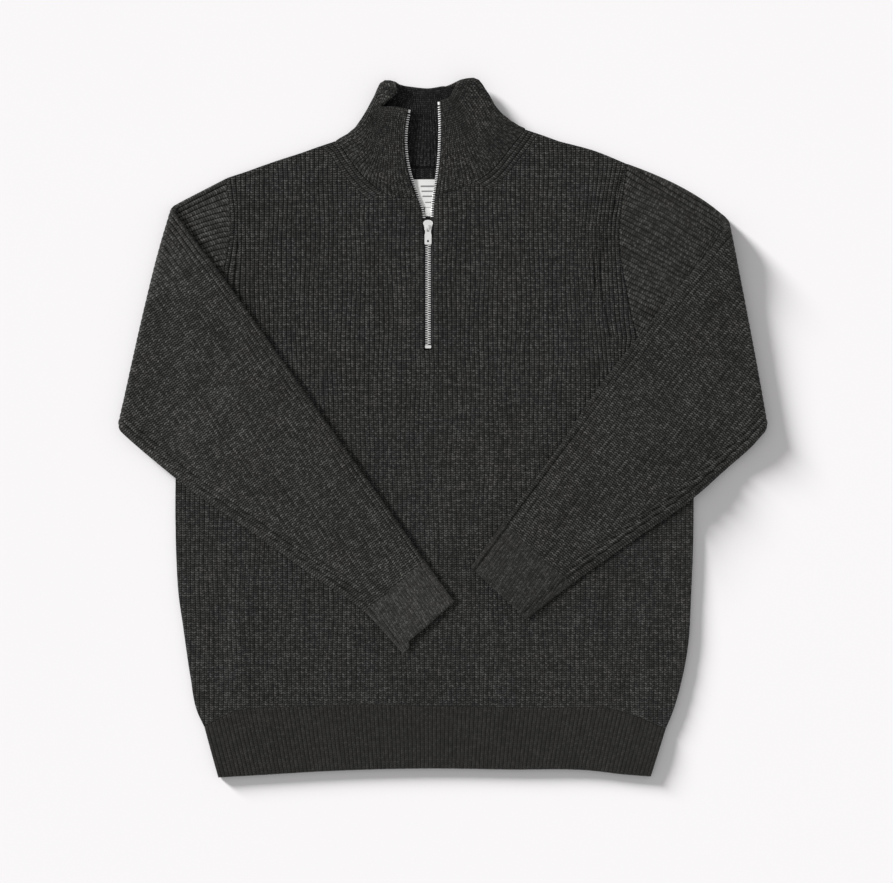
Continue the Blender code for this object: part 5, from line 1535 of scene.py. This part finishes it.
def wovenMaterial(name, look):
    material, shader, n = plainMaterial(name, look["roughness"])
    uv = n.new("ShaderNodeSeparateXYZ")
    n.wire(n.new("ShaderNodeUVMap", uv_map="knit").outputs[0], uv.inputs[0])
    across = n.math("MULTIPLY", uv.outputs[0], look["threads"])
    along = n.math("MULTIPLY", uv.outputs[1], look["threads"])
    over = n.math("PINGPONG", n.math("ADD", across, n.math("FLOOR", along)), 1.0)
    thread = n.math("PINGPONG", along, 0.5)
    height = n.math("ADD", over, thread)
    woven = n.mix(n.ramp(height, weave["low"], weave["high"]), look["between"], look["thread"])
    n.wire(woven, shader.inputs["Base Color"])
    bump = n.new("ShaderNodeBump")
    bump.inputs["Strength"].default_value = look["relief"]
    bump.inputs["Distance"].default_value = weave["relief"]
    n.wire(height, bump.inputs["Height"])
    n.wire(bump.outputs[0], shader.inputs["Normal"])
    return material, shader, n, woven


def metalMaterial(name, look):
    material, shader, n = plainMaterial(name, look["rough"], look["metallic"])
    spot = n.new("ShaderNodeTexCoord").outputs["Object"]
    wear = n.noise(spot, look["scale"], 4.0, 0.7)
    n.wire(n.mix(n.ramp(wear, *look["wear"]), look["dull"], look["bright"]), shader.inputs["Base Color"])
    n.wire(n.ramp(wear, *look["wear"], look["wornRough"], look["rough"]), shader.inputs["Roughness"])
    bump = n.new("ShaderNodeBump")
    bump.inputs["Strength"].default_value = look["scratches"]
    bump.inputs["Distance"].default_value = look["scratchDepth"]
    n.wire(n.noise(spot, look["scratchScale"], 3.0), bump.inputs["Height"])
    n.wire(bump.outputs[0], shader.inputs["Normal"])
    return material


teethLook = {"metallic": 0.35, "rough": 0.30, "wornRough": 0.42, "scale": 260.0, "wear": (0.3, 0.7),
             "dull": (0.78, 0.78, 0.77, 1.0), "bright": (0.97, 0.97, 0.96, 1.0),
             "scratches": 0.15, "scratchDepth": 0.0001, "scratchScale": 780.0}
sliderLook = dict(teethLook, metallic=0.30, dull=(0.88, 0.88, 0.87, 1.0))
tapeLook = {"roughness": 0.85, "threads": 1.4, "between": (0.012, 0.012, 0.012, 1.0),
            "thread": (0.030, 0.030, 0.031, 1.0), "relief": 0.6}
toothMetal = metalMaterial("brightToothMetal", teethLook)
sliderMetal = metalMaterial("polishedNickel", sliderLook)
tapeWeave = wovenMaterial("blackTapeWeave", tapeLook)[0]
for side in ("right", "left"):
    tape = makeTape(side, tapeWeave)
    teeth = makeTeeth(side, toothMetal)
    place(tape, "garment", ["zip_tape_" + side])
    place(teeth, "garment", [])
for node in ("zip_slider", "zip_pull", "zip_bottom_stop", "zip_top_stop_right", "zip_top_stop_left"):
    bpy.data.objects[node].data.materials[0] = sliderMetal
print("zip ready")


labelForm = {
    "neck_label": {"name": "neckLabel", "centre": (-0.0185, 0.2585), "size": (0.0480, 0.0308),
                   "wave": 0.0004},
    "size_tab": {"name": "sizeTab", "centre": (-0.0132, 0.23805), "size": (0.0150, 0.0095),
                 "wave": 0.0002},
}
labelCloth = {
    "wall": 0.0006,
    "base": 0.0033,
    "corner": 0.0009,  # how far its corners are cut back
    "cornerFrom": (0.47, 0.03),
    "across": np.linspace(-0.5, 0.5, 33),
    "down": np.concatenate([[-0.5, -0.485], np.linspace(-0.45, 0.45, 19), [0.485, 0.5]]),
    "edge": 0.499,  # beyond this it is thinner, by shares of its wall above and below
    "thinnerTop": 0.45,
    "thinnerUnder": 0.045,
    "waves": [(1.0, 9.0, 3.0, 0.0), (1.2, 0.0, 7.0, 1.0)],
    "waveLift": 2.2,
}


def makeLabel(node, material):
    form = labelForm[node]
    mesh = ClothMesh()
    width, length = form["size"]
    across, wall = labelCloth["across"], labelCloth["wall"]
    tops, lows = [], []
    for v in labelCloth["down"]:
        inset = labelCloth["corner"] * rising(abs(v), *labelCloth["cornerFrom"]) ** 2
        x = form["centre"][0] + across * (width - 2 * inset)
        y = np.full(len(x), form["centre"][1] + v * length)
        wave = wander(labelCloth["waves"], across, v) + labelCloth["waveLift"]
        z = labelCloth["base"] + form["wave"] * wave
        edge = wall * (np.maximum(np.abs(across), abs(v)) > labelCloth["edge"])
        uv = np.column_stack([across + 0.5, np.full(len(x), v + 0.5)]) * (width, length) / millimetre
        top, low = z + wall - labelCloth["thinnerTop"] * edge, z + labelCloth["thinnerUnder"] * edge
        tops.append(mesh.row(across, np.column_stack([x, y, top]), uv))
        lows.append(mesh.row(across, np.column_stack([x, y, low]), uv))
    closeWall(mesh, tops, lows)
    return mesh.piece(form["name"], material)


def labelMaterial(name, look, stripes):
    material, shader, n, woven = wovenMaterial(name, look)
    if stripes:
        uv = n.new("ShaderNodeSeparateXYZ")
        n.wire(n.new("ShaderNodeUVMap", uv_map="knit").outputs[0], uv.inputs[0])
        inked = 0.0
        for middle, half, start, end in stripes:
            near = n.ramp(n.math("ABSOLUTE", n.math("SUBTRACT", uv.outputs[1], middle)), half, half * 0.5)
            within = n.math("MULTIPLY", n.ramp(uv.outputs[0], start, start + look["stripeEdge"]),
                            n.ramp(uv.outputs[0], end, end - look["stripeEdge"]))
            inked = n.math("MAXIMUM", inked, n.math("MULTIPLY", near, within))
        n.wire(n.mix(inked, woven, look["stripe"]), shader.inputs["Base Color"])
    return material


labelLook = {"roughness": 0.55, "threads": 2.2, "between": (0.88, 0.88, 0.87, 1.0),
             "thread": (0.97, 0.97, 0.96, 1.0), "relief": 0.35,
             "stripe": (0.22, 0.22, 0.22, 1.0), "stripeEdge": 0.5}
# Plain woven stripes, in millimetres on the label: middle, half width, start, end
labelStripes = [(23.1, 1.2, 17.0, 36.0), (17.6, 1.0, 18.0, 35.0), (12.1, 1.0, 19.0, 34.0),
                (5.5, 0.8, 22.0, 32.0)]
for node, stripes in (("neck_label", labelStripes), ("size_tab", [])):
    label = makeLabel(node, labelMaterial(labelForm[node]["name"] + "Weave", labelLook, stripes))
    place(label, "garment", [node])
print("labels ready")


studio = {
    "centre": (0.0033, -0.01485), "width": 0.9823, "height": 2.6, "plane": 0.008, "sensor": 36,
    "sky": 0.45,
    "skyColor": (1, 1, 1, 1),
    "floorSize": 8.0,
    "floorZ": -0.0002,
    "floorTone": (0.900, 0.884, 0.892),
    "floorMottle": 0.99,
    "floorRough": 0.9,
    "floorSun": {"energy": 8.25, "angle": 13, "rise": 13.5, "from": (-0.76, 0.65)},
    "key": {"energy": 2.0, "angle": 15, "from": (-2.10, 0.40, 1.70)},
}


def addSun(name, look, towards, lit):  # lights only one collection
    sun = bpy.data.lights.new(name, "SUN")
    sun.energy = look["energy"]
    sun.angle = math.radians(look["angle"])
    lamp = bpy.data.objects.new(name, sun)
    lamp.rotation_euler = mathutils.Vector(towards).to_track_quat("Z", "Y").to_euler()
    lamp.light_linking.receiver_collection = lit
    bpy.context.scene.collection.objects.link(lamp)


def makeStudio():
    scene = bpy.context.scene
    floorMaterial, shader, n = plainMaterial("paleFloor", studio["floorRough"])
    tone = studio["floorTone"]
    darker = [studio["floorMottle"] * t for t in tone]
    spot = n.new("ShaderNodeTexCoord").outputs["Object"]
    n.wire(n.mix(n.noise(spot, 3.0, 3.0), (*darker, 1.0), (*tone, 1.0)), shader.inputs["Base Color"])
    shader.inputs["Specular IOR Level"].default_value = 0.0
    bpy.ops.mesh.primitive_plane_add(size=studio["floorSize"], location=(0, 0, studio["floorZ"]))
    floor = bpy.context.object
    floor.name = "floor"
    floor.data.materials.append(floorMaterial)
    onFloor = bpy.data.collections.new("floorOnly")
    offFloor = bpy.data.collections.new("allButFloor")
    for group in (onFloor, offFloor):
        group.objects.link(floor)
    offFloor.collection_objects[0].light_linking.link_state = "EXCLUDE"

    look = studio["floorSun"]
    rise = math.radians(look["rise"])
    x, y = (part * math.cos(rise) for part in look["from"])
    addSun("floorSun", look, (x, y, math.sin(rise)), onFloor)
    addSun("key", studio["key"], studio["key"]["from"], offFloor)

    world = bpy.data.worlds.new("studio")
    world.use_nodes = True
    sky = world.node_tree.nodes["Background"].inputs
    sky["Color"].default_value = studio["skyColor"]
    sky["Strength"].default_value = studio["sky"]
    scene.world = world
    scene.view_settings.view_transform = "Standard"


def makeCamera():
    lens = bpy.data.cameras.new("camera")
    lens.sensor_width = studio["sensor"]
    lens.lens = studio["sensor"] * (studio["height"] - studio["plane"]) / studio["width"]
    camera = bpy.data.objects.new("camera", lens)
    bpy.context.scene.collection.objects.link(camera)
    camera.location = (*studio["centre"], studio["height"])
    bpy.context.scene.camera = camera


makeStudio()
makeCamera()
print("studio ready")
